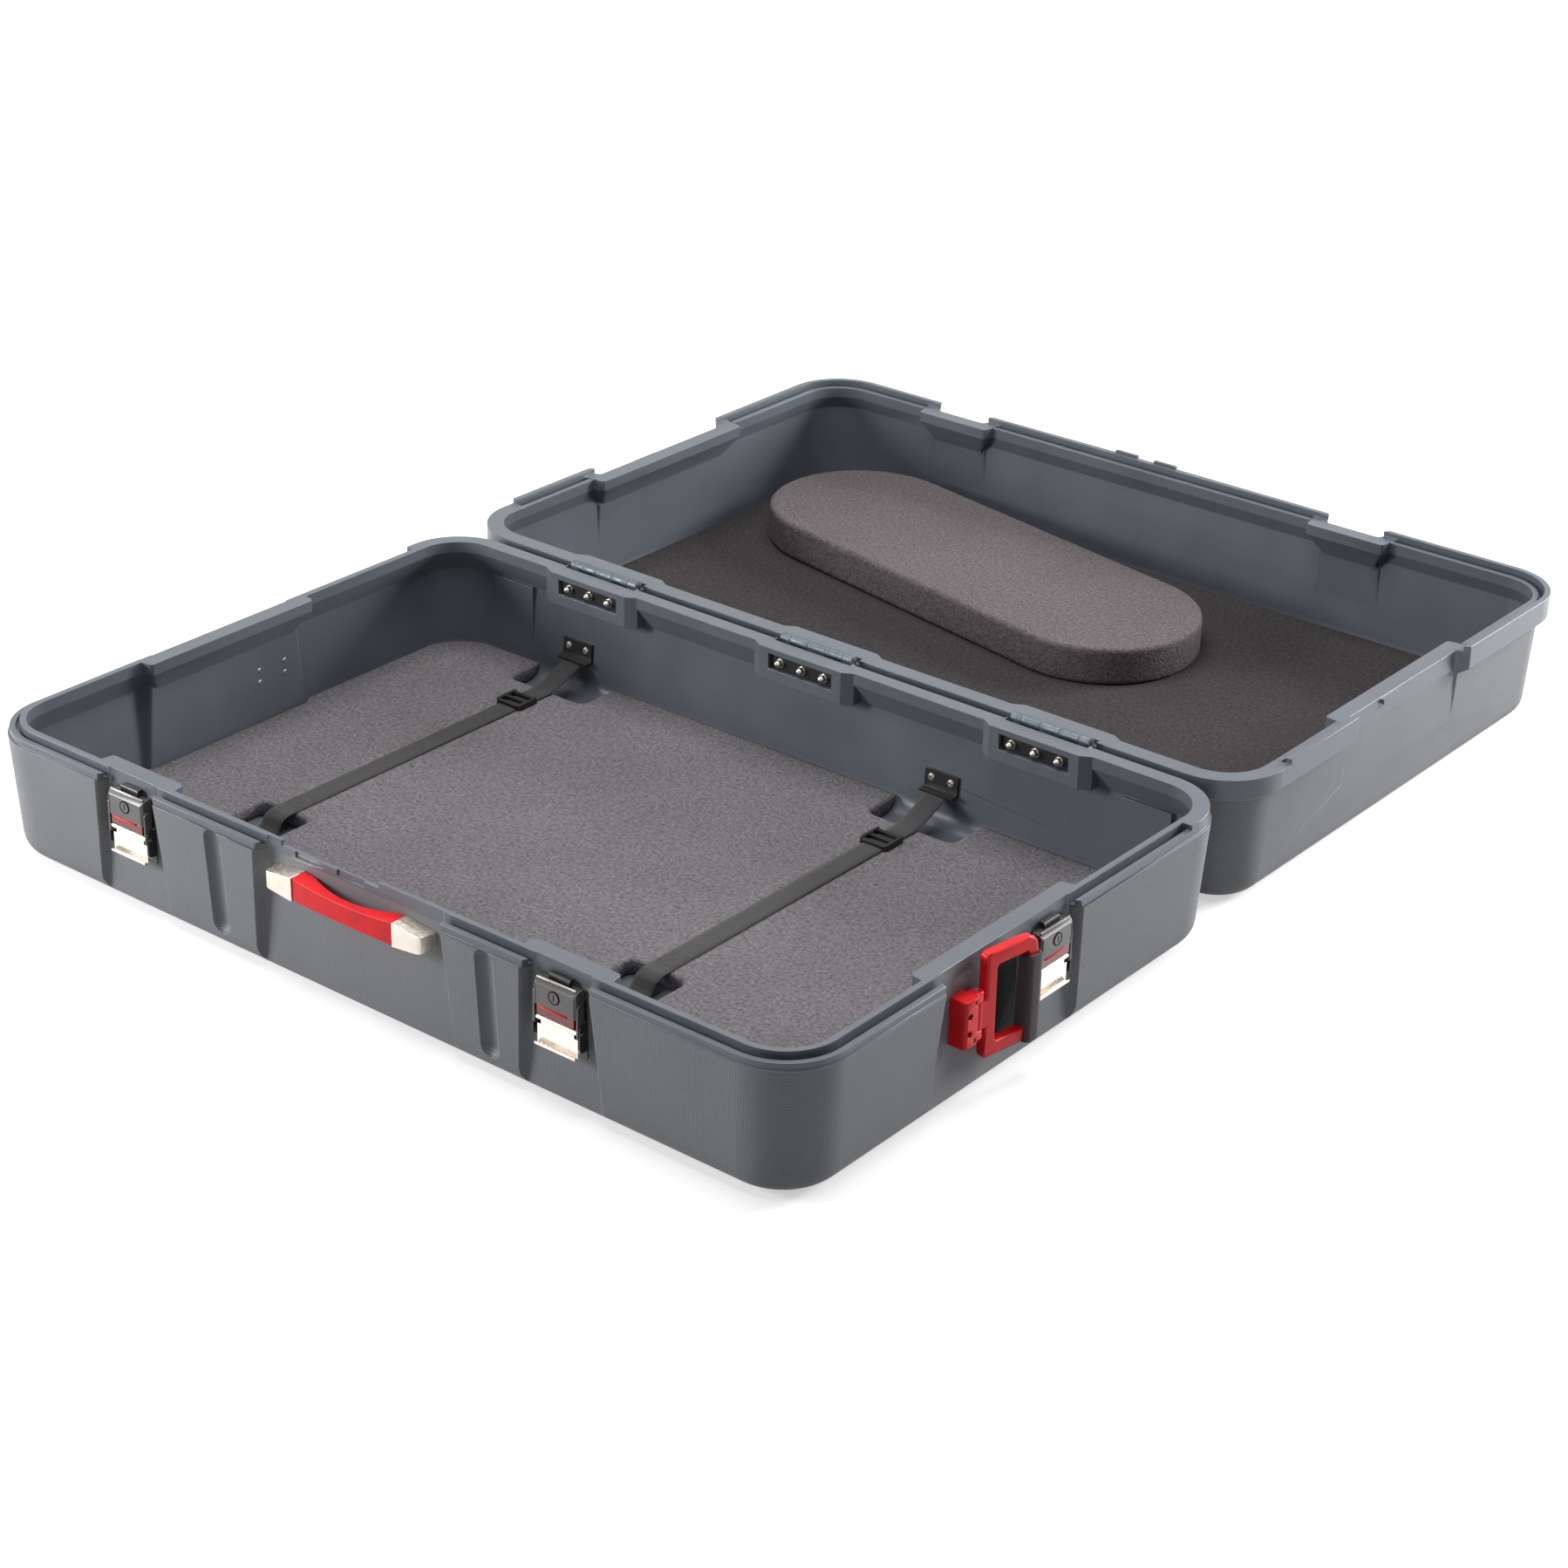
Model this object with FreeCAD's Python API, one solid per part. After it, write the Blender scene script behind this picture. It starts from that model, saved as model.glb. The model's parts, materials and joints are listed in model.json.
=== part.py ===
import FreeCAD, Part
import math
import os

# Bike travel case, opened flat: base half in front, lid half behind it, three hinges between.
# Millimetres, Z up. Origin: middle of the flat underside of the base half.
# X runs along the hinge line, Y from the base towards the lid.

# Case halves
case_length = 1190.0
case_width = 776.0
corner_radius = 78.0
wall_thickness = 4.0
floor_thickness = 4.0
floor_edge_radius = 28.0
hinge_height = 165.0
half_gap = 6.0
closing_gap = 0.5

# Base half
base_draft = 10.0
base_wall_top_drop = 15.0
base_wall_top = hinge_height - base_wall_top_drop
rim_setback = 2.5
rim_width = 22.0
rim_slope_start_drop = 43.0
rim_slope_start = hinge_height - rim_slope_start_drop
outer_ridge_width = 7.0
outer_ridge_drop = 6.5
rim_groove_width = 5.0
rim_groove_depth = 12.5
rim_run_end = 296.0
centre_flat_half = 72.0

# Lid half
lid_draft = 8.0
skirt_overhang = 12.0
skirt_start_drop = 24.0
skirt_start = hinge_height - skirt_start_drop
skirt_bevel = 8.0
lip_width = 8.0
lip_height = 6.5
lid_groove_width = 6.5
lid_ridge_drop = 0.5
lid_run_start = 97.0
lug_half_length = 18.0
lug_middle = -46.0
lug_spread = 31.0
lug_height = 5.0
lug_thickness = 5.0
lug_clearance = 2.0

# Wall recesses for the latches and the handles
recess_depth = 16.0
recess_edge_lift = 0.4
recess_run = 7.0
recess_flare = 20.0
recess_inner_round = 5.0
recess_outer_round = 5.0
front_latch_left = -350.0
front_latch_right = 286.0
front_recess_half = 35.0
end_recess_front = -140.0
end_recess_rear = 76.0
lid_end_recess_near = 262.0
lid_end_recess_far = 506.0
handle_recess_depth = 17.0
flute_left = -210.0
flute_right = 190.0
flute_half = 13.0
flute_depth = 8.0
flute_top_drop = 27.0
flute_top = hinge_height - flute_top_drop
flute_bottom = 34.0
corner_step_start = 450.0
corner_step_depth = 7.0

# Hinges
hinge_offset = 340.0
hinge_half_length = 54.0
knuckle_radius = 6.2
hinge_pin_radius = 2.5
running_clearance = 0.05
knuckle_gap = 0.4
end_knuckle_length = 14.0
long_knuckles = 3
leaf_thickness = 3.0
leaf_bottom_drop = 29.0
leaf_bottom = hinge_height - leaf_bottom_drop
leaf_seat_half = 60.0
leaf_seat_bottom_drop = 35.0
leaf_seat_bottom = hinge_height - leaf_seat_bottom_drop
leaf_seat_depth = 12.0
knuckle_notch_half = 57.0
hinge_pad_half = 62.0
hinge_pad_depth = 30.0
hinge_pad_run = 14.0
window_half = 48.0
window_bottom_drop = 28.0
window_bottom = hinge_height - window_bottom_drop
window_top_drop = 8.0
window_top = hinge_height - window_top_drop
window_wall = 6.0
backing_half = 46.0
backing_thickness = 2.0
backing_margin = 2.0
hinge_bolt_pitch = 33.0
hinge_bolt_radius = 2.5
hinge_bolt_head_radius = 4.5
hinge_bolt_head_height = 2.2
dome_nut_radius = 4.6
dome_nut_length = 5.0

# Latches, measured from the recess floor outwards and from the ground up
latch_half_width = 32.0
latch_plate_thickness = 1.5
latch_plate_bottom_drop = 99.0
latch_plate_bottom = hinge_height - latch_plate_bottom_drop
latch_plate_top_drop = 20.0
latch_plate_top = hinge_height - latch_plate_top_drop
latch_plate_round = 4.0
cheek_thickness = 1.2
cheek_depth = 13.0
cheek_bottom_drop = 87.0
cheek_bottom = hinge_height - cheek_bottom_drop
cheek_top_drop = 55.0
cheek_top = hinge_height - cheek_top_drop
cheek_round = 5.0
housing_half_width = 28.0
housing_depth = 14.0
housing_bottom_drop = 49.0
housing_bottom = hinge_height - housing_bottom_drop
housing_top_drop = 19.0
housing_top = hinge_height - housing_top_drop
housing_round = 4.0
housing_top_slope = 5.0
arm_width = 2.4
arm_bottom_drop = 73.0
arm_bottom = hinge_height - arm_bottom_drop
arm_back = 4.0
arm_front = 14.0
lock_height_drop = 33.0
lock_height = hinge_height - lock_height_drop
lock_radius = 7.0
lock_length = 5.0
lock_proud = 0.6
key_slot_length = 7.0
key_slot_width = 1.3
key_slot_depth = 2.5
insert_half_width = 25.0
insert_height = 11.0
insert_depth = 6.0
insert_setback = 1.5
insert_round = 2.0
lever_half_width = 27.3
lever_thickness = 1.6
lever_pivot_height_drop = 65.0
lever_pivot_height = hinge_height - lever_pivot_height_drop
lever_pivot_out = 10.0
lever_bottom_drop = 96.0
lever_bottom = hinge_height - lever_bottom_drop
lever_eye_radius = 3.2
lever_pin_radius = 1.6
lever_pin_overhang = 1.0
lever_lip_out = 5.0
lever_lip_rise = 4.0
lever_notch = 5.0
claw_half_width = 14.0
claw_thickness = 2.5
claw_out = 5.0
claw_bottom_drop = 50.0
claw_bottom = hinge_height - claw_bottom_drop
claw_top_drop = 12.0
claw_top = hinge_height - claw_top_drop
claw_tip_length = 3.5
claw_tip_thickness = 3.0
claw_round = 2.0
claw_clearance = 0.3
keeper_half_width = 22.0
keeper_out = 4.5
keeper_bottom_drop = 10.0
keeper_bottom = hinge_height - keeper_bottom_drop
keeper_top_drop = 3.0
keeper_top = hinge_height - keeper_top_drop
keeper_undercut = 2.0
rivet_radius = 2.0
rivet_head_radius = 3.4
rivet_head_height = 1.2
rivet_spread = 21.0
rivet_low_drop = 91.0
rivet_low = hinge_height - rivet_low_drop
rivet_high_drop = 75.0
rivet_high = hinge_height - rivet_high_drop
end_latch_place = 42.0

# Carry handle on the front wall
handle_middle = -8.0
handle_half_length = 118.0
handle_recess_margin = 8.0
handle_recess_half = handle_half_length + handle_recess_margin
handle_cap_length = 44.0
handle_bottom_drop = 53.0
handle_bottom = hinge_height - handle_bottom_drop
handle_top_drop = 24.5
handle_top = hinge_height - handle_top_drop
handle_cap_depth = 23.0
handle_cap_taper = 5.0
handle_cap_round = 3.0
grip_front_out = 21.5
grip_back_out = 1.0
grip_waist_out = 12.5
grip_bow = 2.0
grip_dip = 4.0
grip_shoulder = 15.0
grip_side_gap = 0.4
grip_edge_round = 2.5
grip_tongue_length = 12.0
grip_tongue_thickness = 5.0
grip_tongue_out = 3.0
grip_tongue_margin = 6.0
grip_travel = 10.0
grip_slot_clearance = 0.3
cap_screw_radius = 2.5
cap_screw_head_radius = 5.0
cap_screw_head_height = 2.5

# Pull handle on the right end wall
pull_axis_place = -94.0
pull_axis_out = 12.0
pull_block_front = -124.0
pull_block_bottom_drop = 91.0
pull_block_bottom = hinge_height - pull_block_bottom_drop
pull_block_top_drop = 36.0
pull_block_top = hinge_height - pull_block_top_drop
pull_block_depth = 22.0
pull_block_round = 4.0
pull_ear_radius = 7.0
pull_knuckle_bottom_drop = 80.0
pull_knuckle_bottom = hinge_height - pull_knuckle_bottom_drop
pull_knuckle_top_drop = 48.0
pull_knuckle_top = hinge_height - pull_knuckle_top_drop
pull_knuckle_gap = 0.4
pull_body_gap = 7.6
pull_pin_radius = 3.0
pull_lean = 9.0
pull_loop_start = 7.4
pull_loop_reach = 82.0
pull_loop_bottom_drop = 118.0
pull_loop_bottom = hinge_height - pull_loop_bottom_drop
pull_loop_top_rise = 4.0
pull_loop_top = hinge_height + pull_loop_top_rise
pull_loop_round = 16.0
pull_loop_half_thickness = 6.5
pull_bar_near = 15.0
pull_bar_far = 14.0
pull_bar_cross = 16.0
pull_inner_round = 5.5
pull_edge_round = 2.5
pull_grip_margin = 0.5
pull_grip_drop = 1.5
pull_grip_wall = 4.5
pull_grip_round = 7.0
pull_screw_radius = 2.2
pull_screw_head_radius = 3.6
pull_screw_head_depth = 3.0
pull_screw_sink = 2.0
pull_screw_near = 7.0
pull_screw_far = 18.0
pull_screw_edge = 6.0

# Foam
foam_thickness = 20.0
foam_gap = 0.5
pad_half_length = 365.0
pad_half_width = 132.0
pad_thickness = 50.0
pad_rest_gap = 0.2
pad_place_x = -158.0
pad_place_y = 157.0
pad_turn = -10.8
pad_edge_round = 3.0

# Straps across the base foam
strap_left_place = -372.0
strap_right_place = 202.0
strap_half_width = 15.0
strap_thickness = 2.0
strap_lift = 0.3
strap_front_inset = 212.0
strap_front_rise = 34.0
strap_rear_inset = 70.0
strap_bend_radius = 9.0
window_cut_half = 40.0
window_cut_margin = 12.0
window_cut_round = 8.0
edge_cut_half = 62.0
edge_cut_depth = 72.0
floor_anchor_half_length = 26.0
floor_anchor_half_width = 13.0
floor_anchor_thickness = 3.0
floor_anchor_round = 4.0
floor_anchor_bolt_spread = 20.0
wall_anchor_half_length = 24.0
wall_anchor_bottom = 46.0
wall_anchor_top = 72.0
wall_anchor_thickness = 3.0
wall_anchor_stand = 14.0
wall_bolt_spread = 14.0
wall_bolt_height = 62.0
anchor_bolt_radius = 2.5
anchor_bolt_head_radius = 4.5
anchor_bolt_head_height = 3.0
buckle_half_length = 17.0
buckle_rail = 4.5
buckle_rail_gap = 0.5
buckle_height = 8.0
buckle_bars = 3
buckle_bar_depth = 5.0
buckle_bar_gap = 0.4
buckle_bar_height = 4.0
buckle_round = 3.0
buckle_inset = 126.0

overrun = 40.0
quarter_turn = 90.0

# Derived places
half_length = case_length / 2
half_width = case_width / 2
rim_top = hinge_height - closing_gap
hinge_line = half_width + half_gap
lid_middle = case_width + half_gap + half_gap
lid_far = lid_middle + half_width
lid_near = lid_middle - half_width
end_latch_reach = hinge_line - end_latch_place
end_recess_middle = (end_recess_front + end_recess_rear) / 2
end_recess_half = (end_recess_rear - end_recess_front) / 2
lid_end_recess_middle = hinge_line + (lid_end_recess_near + lid_end_recess_far) / 2
lid_end_recess_half = (lid_end_recess_far - lid_end_recess_near) / 2
foam_top = floor_thickness + foam_thickness
front_latch_places = [front_latch_left, front_latch_right]
hinge_places = [-hinge_offset, 0, hinge_offset]
strap_places = [strap_left_place, strap_right_place]
strap_front = strap_front_inset - half_width
strap_rear_bend = half_width - strap_rear_inset
buckle_place = half_width - buckle_inset


def vec(x, y, z):
    return FreeCAD.Vector(x, y, z)


def outline(points, radii):
    """Closed wire through corner points, each corner rounded by its radius."""
    count = len(points)
    entries = []
    exits = []
    middles = []
    for i in range(count):
        corner = points[i]
        back = points[i - 1] - corner
        ahead = points[(i + 1) % count] - corner
        back.normalize()
        ahead.normalize()
        if radii[i] == 0:
            entries.append(corner)
            exits.append(corner)
            middles.append(None)
            continue
        half_angle = back.getAngle(ahead) / 2
        reach = radii[i] / math.tan(half_angle)
        bisector = back + ahead
        bisector.normalize()
        centre = corner + bisector * (radii[i] / math.sin(half_angle))
        entries.append(corner + back * reach)
        exits.append(corner + ahead * reach)
        middles.append(centre - bisector * radii[i])
    edges = []
    for i in range(count):
        if middles[i] is not None:
            edges.append(Part.Arc(entries[i], middles[i], exits[i]).toShape())
        edges.append(Part.makeLine(exits[i], entries[(i + 1) % count]))
    return Part.Wire(edges)


def prism(points, radii, direction):
    return Part.Face(outline(points, radii)).extrude(direction)


def block(x0, x1, y0, y1, z0, z1):
    return Part.makeBox(x1 - x0, y1 - y0, z1 - z0, vec(x0, y0, z0))


def rod(radius, start, end):
    axis = end - start
    return Part.makeCylinder(radius, axis.Length, start, axis)


def fused(shapes):
    return shapes[0].multiFuse(shapes[1:]).removeSplitter()


def turned(shape, angle, x, y):
    """Copy turned about the vertical axis, then moved in plan."""
    copy = shape.copy()
    copy.rotate(vec(0, 0, 0), vec(0, 0, 1), angle)
    copy.translate(vec(x, y, 0))
    return copy


def on_front(shape, x):
    return turned(shape, 0, x, -half_width)


def on_right(shape, y):
    return turned(shape, quarter_turn, half_length, y)


def on_left(shape, y):
    return turned(shape, -quarter_turn, -half_length, y)


def on_far(shape, x):
    return turned(shape, quarter_turn * 2, x, lid_far)


def edges_at(shape, z):
    found = []
    for edge in shape.Edges:
        low = edge.BoundBox.ZMin - z
        high = edge.BoundBox.ZMax - z
        if abs(low) < closing_gap / 2 and abs(high) < closing_gap / 2:
            found.append(edge)
    return found


def plan_wire(inset, z, middle):
    """Plan outline of a case half, pulled in by inset."""
    x = half_length - inset
    y = half_width - inset
    r = corner_radius - inset
    corners = [vec(-x, middle - y, z), vec(x, middle - y, z), vec(x, middle + y, z), vec(-x, middle + y, z)]
    return outline(corners, [r, r, r, r])


def tray(sections, middle):
    wires = [plan_wire(inset, z, middle) for z, inset in sections]
    return Part.makeLoft(wires, True, True)


def rounded_tray(sections, middle, radius):
    body = tray(sections, middle)
    return body.makeFillet(radius, edges_at(body, sections[0][0]))


def ring(outer_inset, inner_inset, low, high, middle):
    outside = tray([(low, outer_inset), (high, outer_inset)], middle)
    inside = tray([(low - overrun, inner_inset), (high + overrun, inner_inset)], middle)
    return outside.cut(inside)


def base_inset(z):
    return base_draft * (base_wall_top - z) / base_wall_top


def lid_inset(z):
    return skirt_overhang + lid_draft * (skirt_start - z) / skirt_start


def recess_wire(half, edge, depth, z):
    """Plan outline of a wall recess; X along the wall, Y into the case."""
    points = [
        vec(-half - recess_run - overrun, -overrun, z),
        vec(-half - recess_run - overrun, edge, z),
        vec(-half - recess_run, edge, z),
        vec(-half, depth, z),
        vec(half, depth, z),
        vec(half + recess_run, edge, z),
        vec(half + recess_run + overrun, edge, z),
        vec(half + recess_run + overrun, -overrun, z),
    ]
    outer = recess_outer_round
    inner = recess_inner_round
    return outline(points, [0, 0, outer, inner, inner, outer, 0, 0])


def recess(half, depth, foot_edge, grow):
    """Recess running down a wall, its edge following the wall's draft; grow gives its inner wall."""
    draft = foot_edge / base_wall_top
    top = hinge_height + overrun
    foot = foot_edge + overrun * draft - recess_edge_lift
    head = (base_wall_top - top) * draft - recess_edge_lift
    low = recess_wire(half + recess_flare + grow, foot, depth + grow, -overrun)
    high = recess_wire(half + grow, head, depth + grow, top)
    return Part.makeLoft([low, high], True, True)


def recess_pad(half):
    """Rim stepping inwards round a recess, sloping back to the wall below."""
    edge = -recess_edge_lift
    deep = recess_depth + rim_width
    low = recess_wire(half + wall_thickness, edge, recess_depth + wall_thickness, rim_slope_start)
    mid = recess_wire(half + rim_width, edge, deep, base_wall_top)
    high = recess_wire(half + rim_width, edge, deep, hinge_height + overrun)
    return Part.makeLoft([low, mid, high], True, True)


def flute(grow):
    """Upright half-round groove with rounded ends in the front wall."""
    radius = (flute_half ** 2 + flute_depth ** 2) / (flute_depth + flute_depth)
    axis_y = flute_depth - radius
    low = vec(0, axis_y + base_inset(flute_bottom), flute_bottom)
    high = vec(0, axis_y + base_inset(flute_top), flute_top)
    ends = [Part.makeSphere(radius + grow, low), Part.makeSphere(radius + grow, high)]
    return fused([rod(radius + grow, low, high)] + ends)


def base_recesses(grow):
    latch = recess(front_recess_half, recess_depth, base_draft, grow)
    cuts = [on_front(latch, x) for x in front_latch_places]
    cuts.append(on_front(recess(handle_recess_half, handle_recess_depth, base_draft, grow), handle_middle))
    end = recess(end_recess_half, recess_depth, base_draft, grow)
    cuts.append(on_right(end, end_recess_middle))
    cuts.append(on_left(end, end_recess_middle))
    cuts += [on_front(flute(grow), x) for x in (flute_left, flute_right)]
    return cuts


def base_pads():
    pads = [on_front(recess_pad(front_recess_half), x) for x in front_latch_places]
    end = recess_pad(end_recess_half)
    pads.append(on_right(end, end_recess_middle))
    pads.append(on_left(end, end_recess_middle))
    return pads


def lid_recesses(grow):
    cuts = [on_far(recess(front_recess_half, recess_depth, 0, grow), x) for x in front_latch_places]
    end = recess(lid_end_recess_half, recess_depth, 0, grow)
    cuts.append(on_right(end, lid_end_recess_middle))
    cuts.append(on_left(end, lid_end_recess_middle))
    return cuts


def lid_pads():
    pads = [on_far(recess_pad(front_recess_half), x) for x in front_latch_places]
    end = recess_pad(lid_end_recess_half)
    pads.append(on_right(end, lid_end_recess_middle))
    pads.append(on_left(end, lid_end_recess_middle))
    return pads


def mirrored_over_hinge(shape):
    return shape.mirror(vec(0, hinge_line, 0), vec(0, 1, 0))


def hinge_pads():
    """Pads thickening the base's hinge-side rim on the inside, with pointed ends."""
    pads = []
    for x in hinge_places:
        wide = hinge_pad_half + hinge_pad_run
        inner = half_width - hinge_pad_depth
        outer = half_width + overrun
        rim = half_width - rim_width + closing_gap
        points = [
            vec(x - wide, outer, rim_slope_start),
            vec(x - wide, rim, rim_slope_start),
            vec(x - hinge_pad_half, inner, rim_slope_start),
            vec(x + hinge_pad_half, inner, rim_slope_start),
            vec(x + wide, rim, rim_slope_start),
            vec(x + wide, outer, rim_slope_start),
        ]
        pads.append(prism(points, [0] * len(points), vec(0, 0, overrun + overrun)))
    return pads


def hinge_seats():
    """Upright faces outside the base's hinge-side wall that carry the leaves."""
    seats = []
    for x in hinge_places:
        y0 = half_width - leaf_seat_depth
        seats.append(block(x - leaf_seat_half, x + leaf_seat_half, y0, half_width, leaf_seat_bottom, rim_top))
    return seats


def hinge_cuts():
    """Knuckle notches, windows and bolt holes of the base's hinge side."""
    cuts = []
    notch_floor = hinge_height - knuckle_radius - closing_gap
    for x in hinge_places:
        y0 = hinge_line - knuckle_radius - knuckle_radius
        x0 = x - knuckle_notch_half
        x1 = x + knuckle_notch_half
        cuts.append(block(x0, x1, y0, half_width + overrun, notch_floor, hinge_height + overrun))
        y1 = half_width - window_wall
        y0 = half_width - hinge_pad_depth - overrun
        cuts.append(block(x - window_half, x + window_half, y0, y1, window_bottom, window_top))
        for step in (-hinge_bolt_pitch, 0, hinge_bolt_pitch):
            z = (window_bottom + window_top) / 2
            start = vec(x + step, half_width - hinge_pad_depth, z)
            cuts.append(rod(hinge_bolt_radius, start, vec(x + step, half_width + overrun, z)))
    return cuts


def base_cavity(gap):
    floor = floor_thickness
    wall = wall_thickness + gap
    sections = [
        (floor, base_inset(floor) + wall),
        (rim_slope_start, base_inset(rim_slope_start) + wall),
        (base_wall_top, rim_width + gap),
        (hinge_height + overrun, rim_width + gap),
    ]
    return rounded_tray(sections, 0, floor_edge_radius - wall)


def lid_cavity(gap):
    floor = floor_thickness
    wall = wall_thickness + gap
    sections = [
        (floor, lid_inset(floor) + wall),
        (skirt_start - skirt_bevel, lid_inset(skirt_start) + wall),
        (base_wall_top, rim_width + gap),
        (hinge_height + overrun, rim_width + gap),
    ]
    return rounded_tray(sections, lid_middle, floor_edge_radius - wall)


def corner_steps(grow):
    """Shallow steps in the hinge-side wall towards both rear corners."""
    steps = []
    for side in (-1, 1):
        x0 = side * (corner_step_start - grow)
        x1 = side * (half_length - corner_radius)
        y0 = half_width - wall_thickness - corner_step_depth - grow
        low = floor_thickness + floor_edge_radius
        high = rim_slope_start
        steps.append(block(min(x0, x1), max(x0, x1), y0, half_width, low, high))
    return steps


def make_base_shell():
    outer = rounded_tray([(0, base_draft), (base_wall_top, 0)], 0, floor_edge_radius)
    band = tray([(rim_slope_start, rim_setback), (rim_top, rim_setback)], 0)
    shell = fused([outer, band] + hinge_seats())
    cavity = base_cavity(0).cut(base_recesses(wall_thickness) + base_pads() + hinge_pads() + corner_steps(0))
    shell = shell.cut(cavity)
    ridge_in = rim_setback + outer_ridge_width
    groove_in = ridge_in + rim_groove_width
    front_zone = block(-case_length, case_length, -case_width, rim_run_end, 0, hinge_height + overrun)
    ridge_cut = ring(-overrun, ridge_in, rim_top - outer_ridge_drop, hinge_height + overrun, 0)
    groove_cut = ring(ridge_in, groove_in, rim_top - rim_groove_depth, hinge_height + overrun, 0)
    rim_cut = fused([ridge_cut, groove_cut]).common(front_zone)
    y_in = rim_width + closing_gap - half_width
    flat_low = rim_top - outer_ridge_drop
    x0 = lug_middle - centre_flat_half
    x1 = lug_middle + centre_flat_half
    flat = block(x0, x1, -case_width, y_in, flat_low, hinge_height + overrun)
    slots = []
    for side in (-1, 1):
        x0 = lug_middle + side * lug_spread - lug_half_length - lug_clearance
        x1 = lug_middle + side * lug_spread + lug_half_length + lug_clearance
        y1 = lug_clearance + handle_recess_depth - half_width
        low = flat_low - lug_height - lug_clearance
        slots.append(block(x0, x1, -half_width - overrun, y1, low, hinge_height))
    cuts = [rim_cut, flat] + slots + base_recesses(0) + hinge_cuts() + fastener_holes()
    return shell.cut(cuts).removeSplitter()


def make_lid_shell():
    bevel_foot = skirt_start - skirt_bevel
    wall = rounded_tray([(0, lid_inset(0)), (skirt_start, skirt_overhang)], lid_middle, floor_edge_radius)
    skirt = tray([(bevel_foot, skirt_overhang), (skirt_start, 0), (rim_top, 0)], lid_middle)
    run = block(-case_length, case_length, lid_near + lid_run_start, lid_far + overrun, 0, case_length)
    lip = ring(0, lip_width, skirt_start + skirt_bevel, rim_top + lip_height, lid_middle).common(run)
    seats = [mirrored_over_hinge(seat) for seat in hinge_seats()]
    shell = fused([wall, skirt, lip] + seats)
    hinge_side = [mirrored_over_hinge(pad) for pad in hinge_pads()]
    cavity = lid_cavity(0).cut(lid_recesses(wall_thickness) + lid_pads() + hinge_side)
    shell = shell.cut(cavity)
    groove_in = lip_width + lid_groove_width
    groove_low = rim_top - rim_groove_depth
    groove = ring(lip_width, groove_in, groove_low, hinge_height + overrun, lid_middle)
    ridge = ring(groove_in, rim_width + overrun, rim_top - lid_ridge_drop, hinge_height + overrun, lid_middle)
    rim_cut = fused([groove, ridge]).common(run).cut(lid_pads())
    cuts = [rim_cut] + lid_recesses(0) + [mirrored_over_hinge(cut) for cut in hinge_cuts()]
    shell = shell.cut(cuts)
    extras = [on_far(make_keeper(), x) for x in front_latch_places]
    extras.append(on_right(make_keeper(), hinge_line + end_latch_reach))
    extras.append(on_left(make_keeper(), hinge_line + end_latch_reach))
    for side in (-1, 1):
        x0 = lug_middle + side * lug_spread - lug_half_length
        x1 = lug_middle + side * lug_spread + lug_half_length
        y1 = lid_far - closing_gap
        y0 = y1 - lug_thickness
        z0 = rim_top
        extras.append(block(x0, x1, y0, y1, z0, z0 + lip_height + lug_height))
    return fused([shell] + extras)


def make_keeper():
    """Moulded hook ledge on the floor of a lid recess."""
    outer = recess_depth - keeper_out
    back = recess_depth + wall_thickness / 2
    points = [
        vec(-keeper_half_width, back, keeper_bottom + keeper_undercut),
        vec(-keeper_half_width, outer, keeper_bottom),
        vec(-keeper_half_width, outer, keeper_top),
        vec(-keeper_half_width, back, keeper_top),
    ]
    return prism(points, [0] * len(points), vec(keeper_half_width + keeper_half_width, 0, 0))


def make_hinge_leaf(x, base_side):
    """Leaf with its knuckles; the base leaf has the outer and middle ones, the lid leaf the others."""
    z_top = hinge_height
    plate = block(x - hinge_half_length, x + hinge_half_length, half_width, half_width + leaf_thickness,
                  leaf_bottom, z_top)
    long_length = (hinge_half_length - end_knuckle_length) * 2 / long_knuckles
    lengths = [end_knuckle_length] + [long_length] * long_knuckles + [end_knuckle_length]
    axis_y = hinge_line
    knuckles = []
    gaps = []
    start = x - hinge_half_length
    for i in range(len(lengths)):
        end = start + lengths[i]
        own = (i % 2 == 0) == base_side
        if own:
            a = start + knuckle_gap / 2
            b = end - knuckle_gap / 2
            knuckles.append(rod(knuckle_radius, vec(a, axis_y, hinge_height), vec(b, axis_y, hinge_height)))
        else:
            low = hinge_height - knuckle_radius - closing_gap
            gaps.append(block(start, end, half_width - overrun, axis_y, low, z_top + overrun))
        start = end
    bore = rod(hinge_pin_radius + running_clearance, vec(x - case_width, axis_y, hinge_height),
               vec(x + case_width, axis_y, hinge_height))
    if not base_side:
        plate = mirrored_over_hinge(plate)
        gaps = [mirrored_over_hinge(gap) for gap in gaps]
    leaf = fused([plate.cut(gaps)] + knuckles).cut(bore)
    holes = []
    for step in (-hinge_bolt_pitch, 0, hinge_bolt_pitch):
        z = (window_bottom + window_top) / 2
        holes.append(rod(hinge_bolt_radius, vec(x + step, 0, z), vec(x + step, lid_middle, z)))
    return leaf.cut(holes)


def make_hinge_pin(x):
    a = vec(x - hinge_half_length, hinge_line, hinge_height)
    b = vec(x + hinge_half_length, hinge_line, hinge_height)
    return rod(hinge_pin_radius, a, b)


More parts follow.
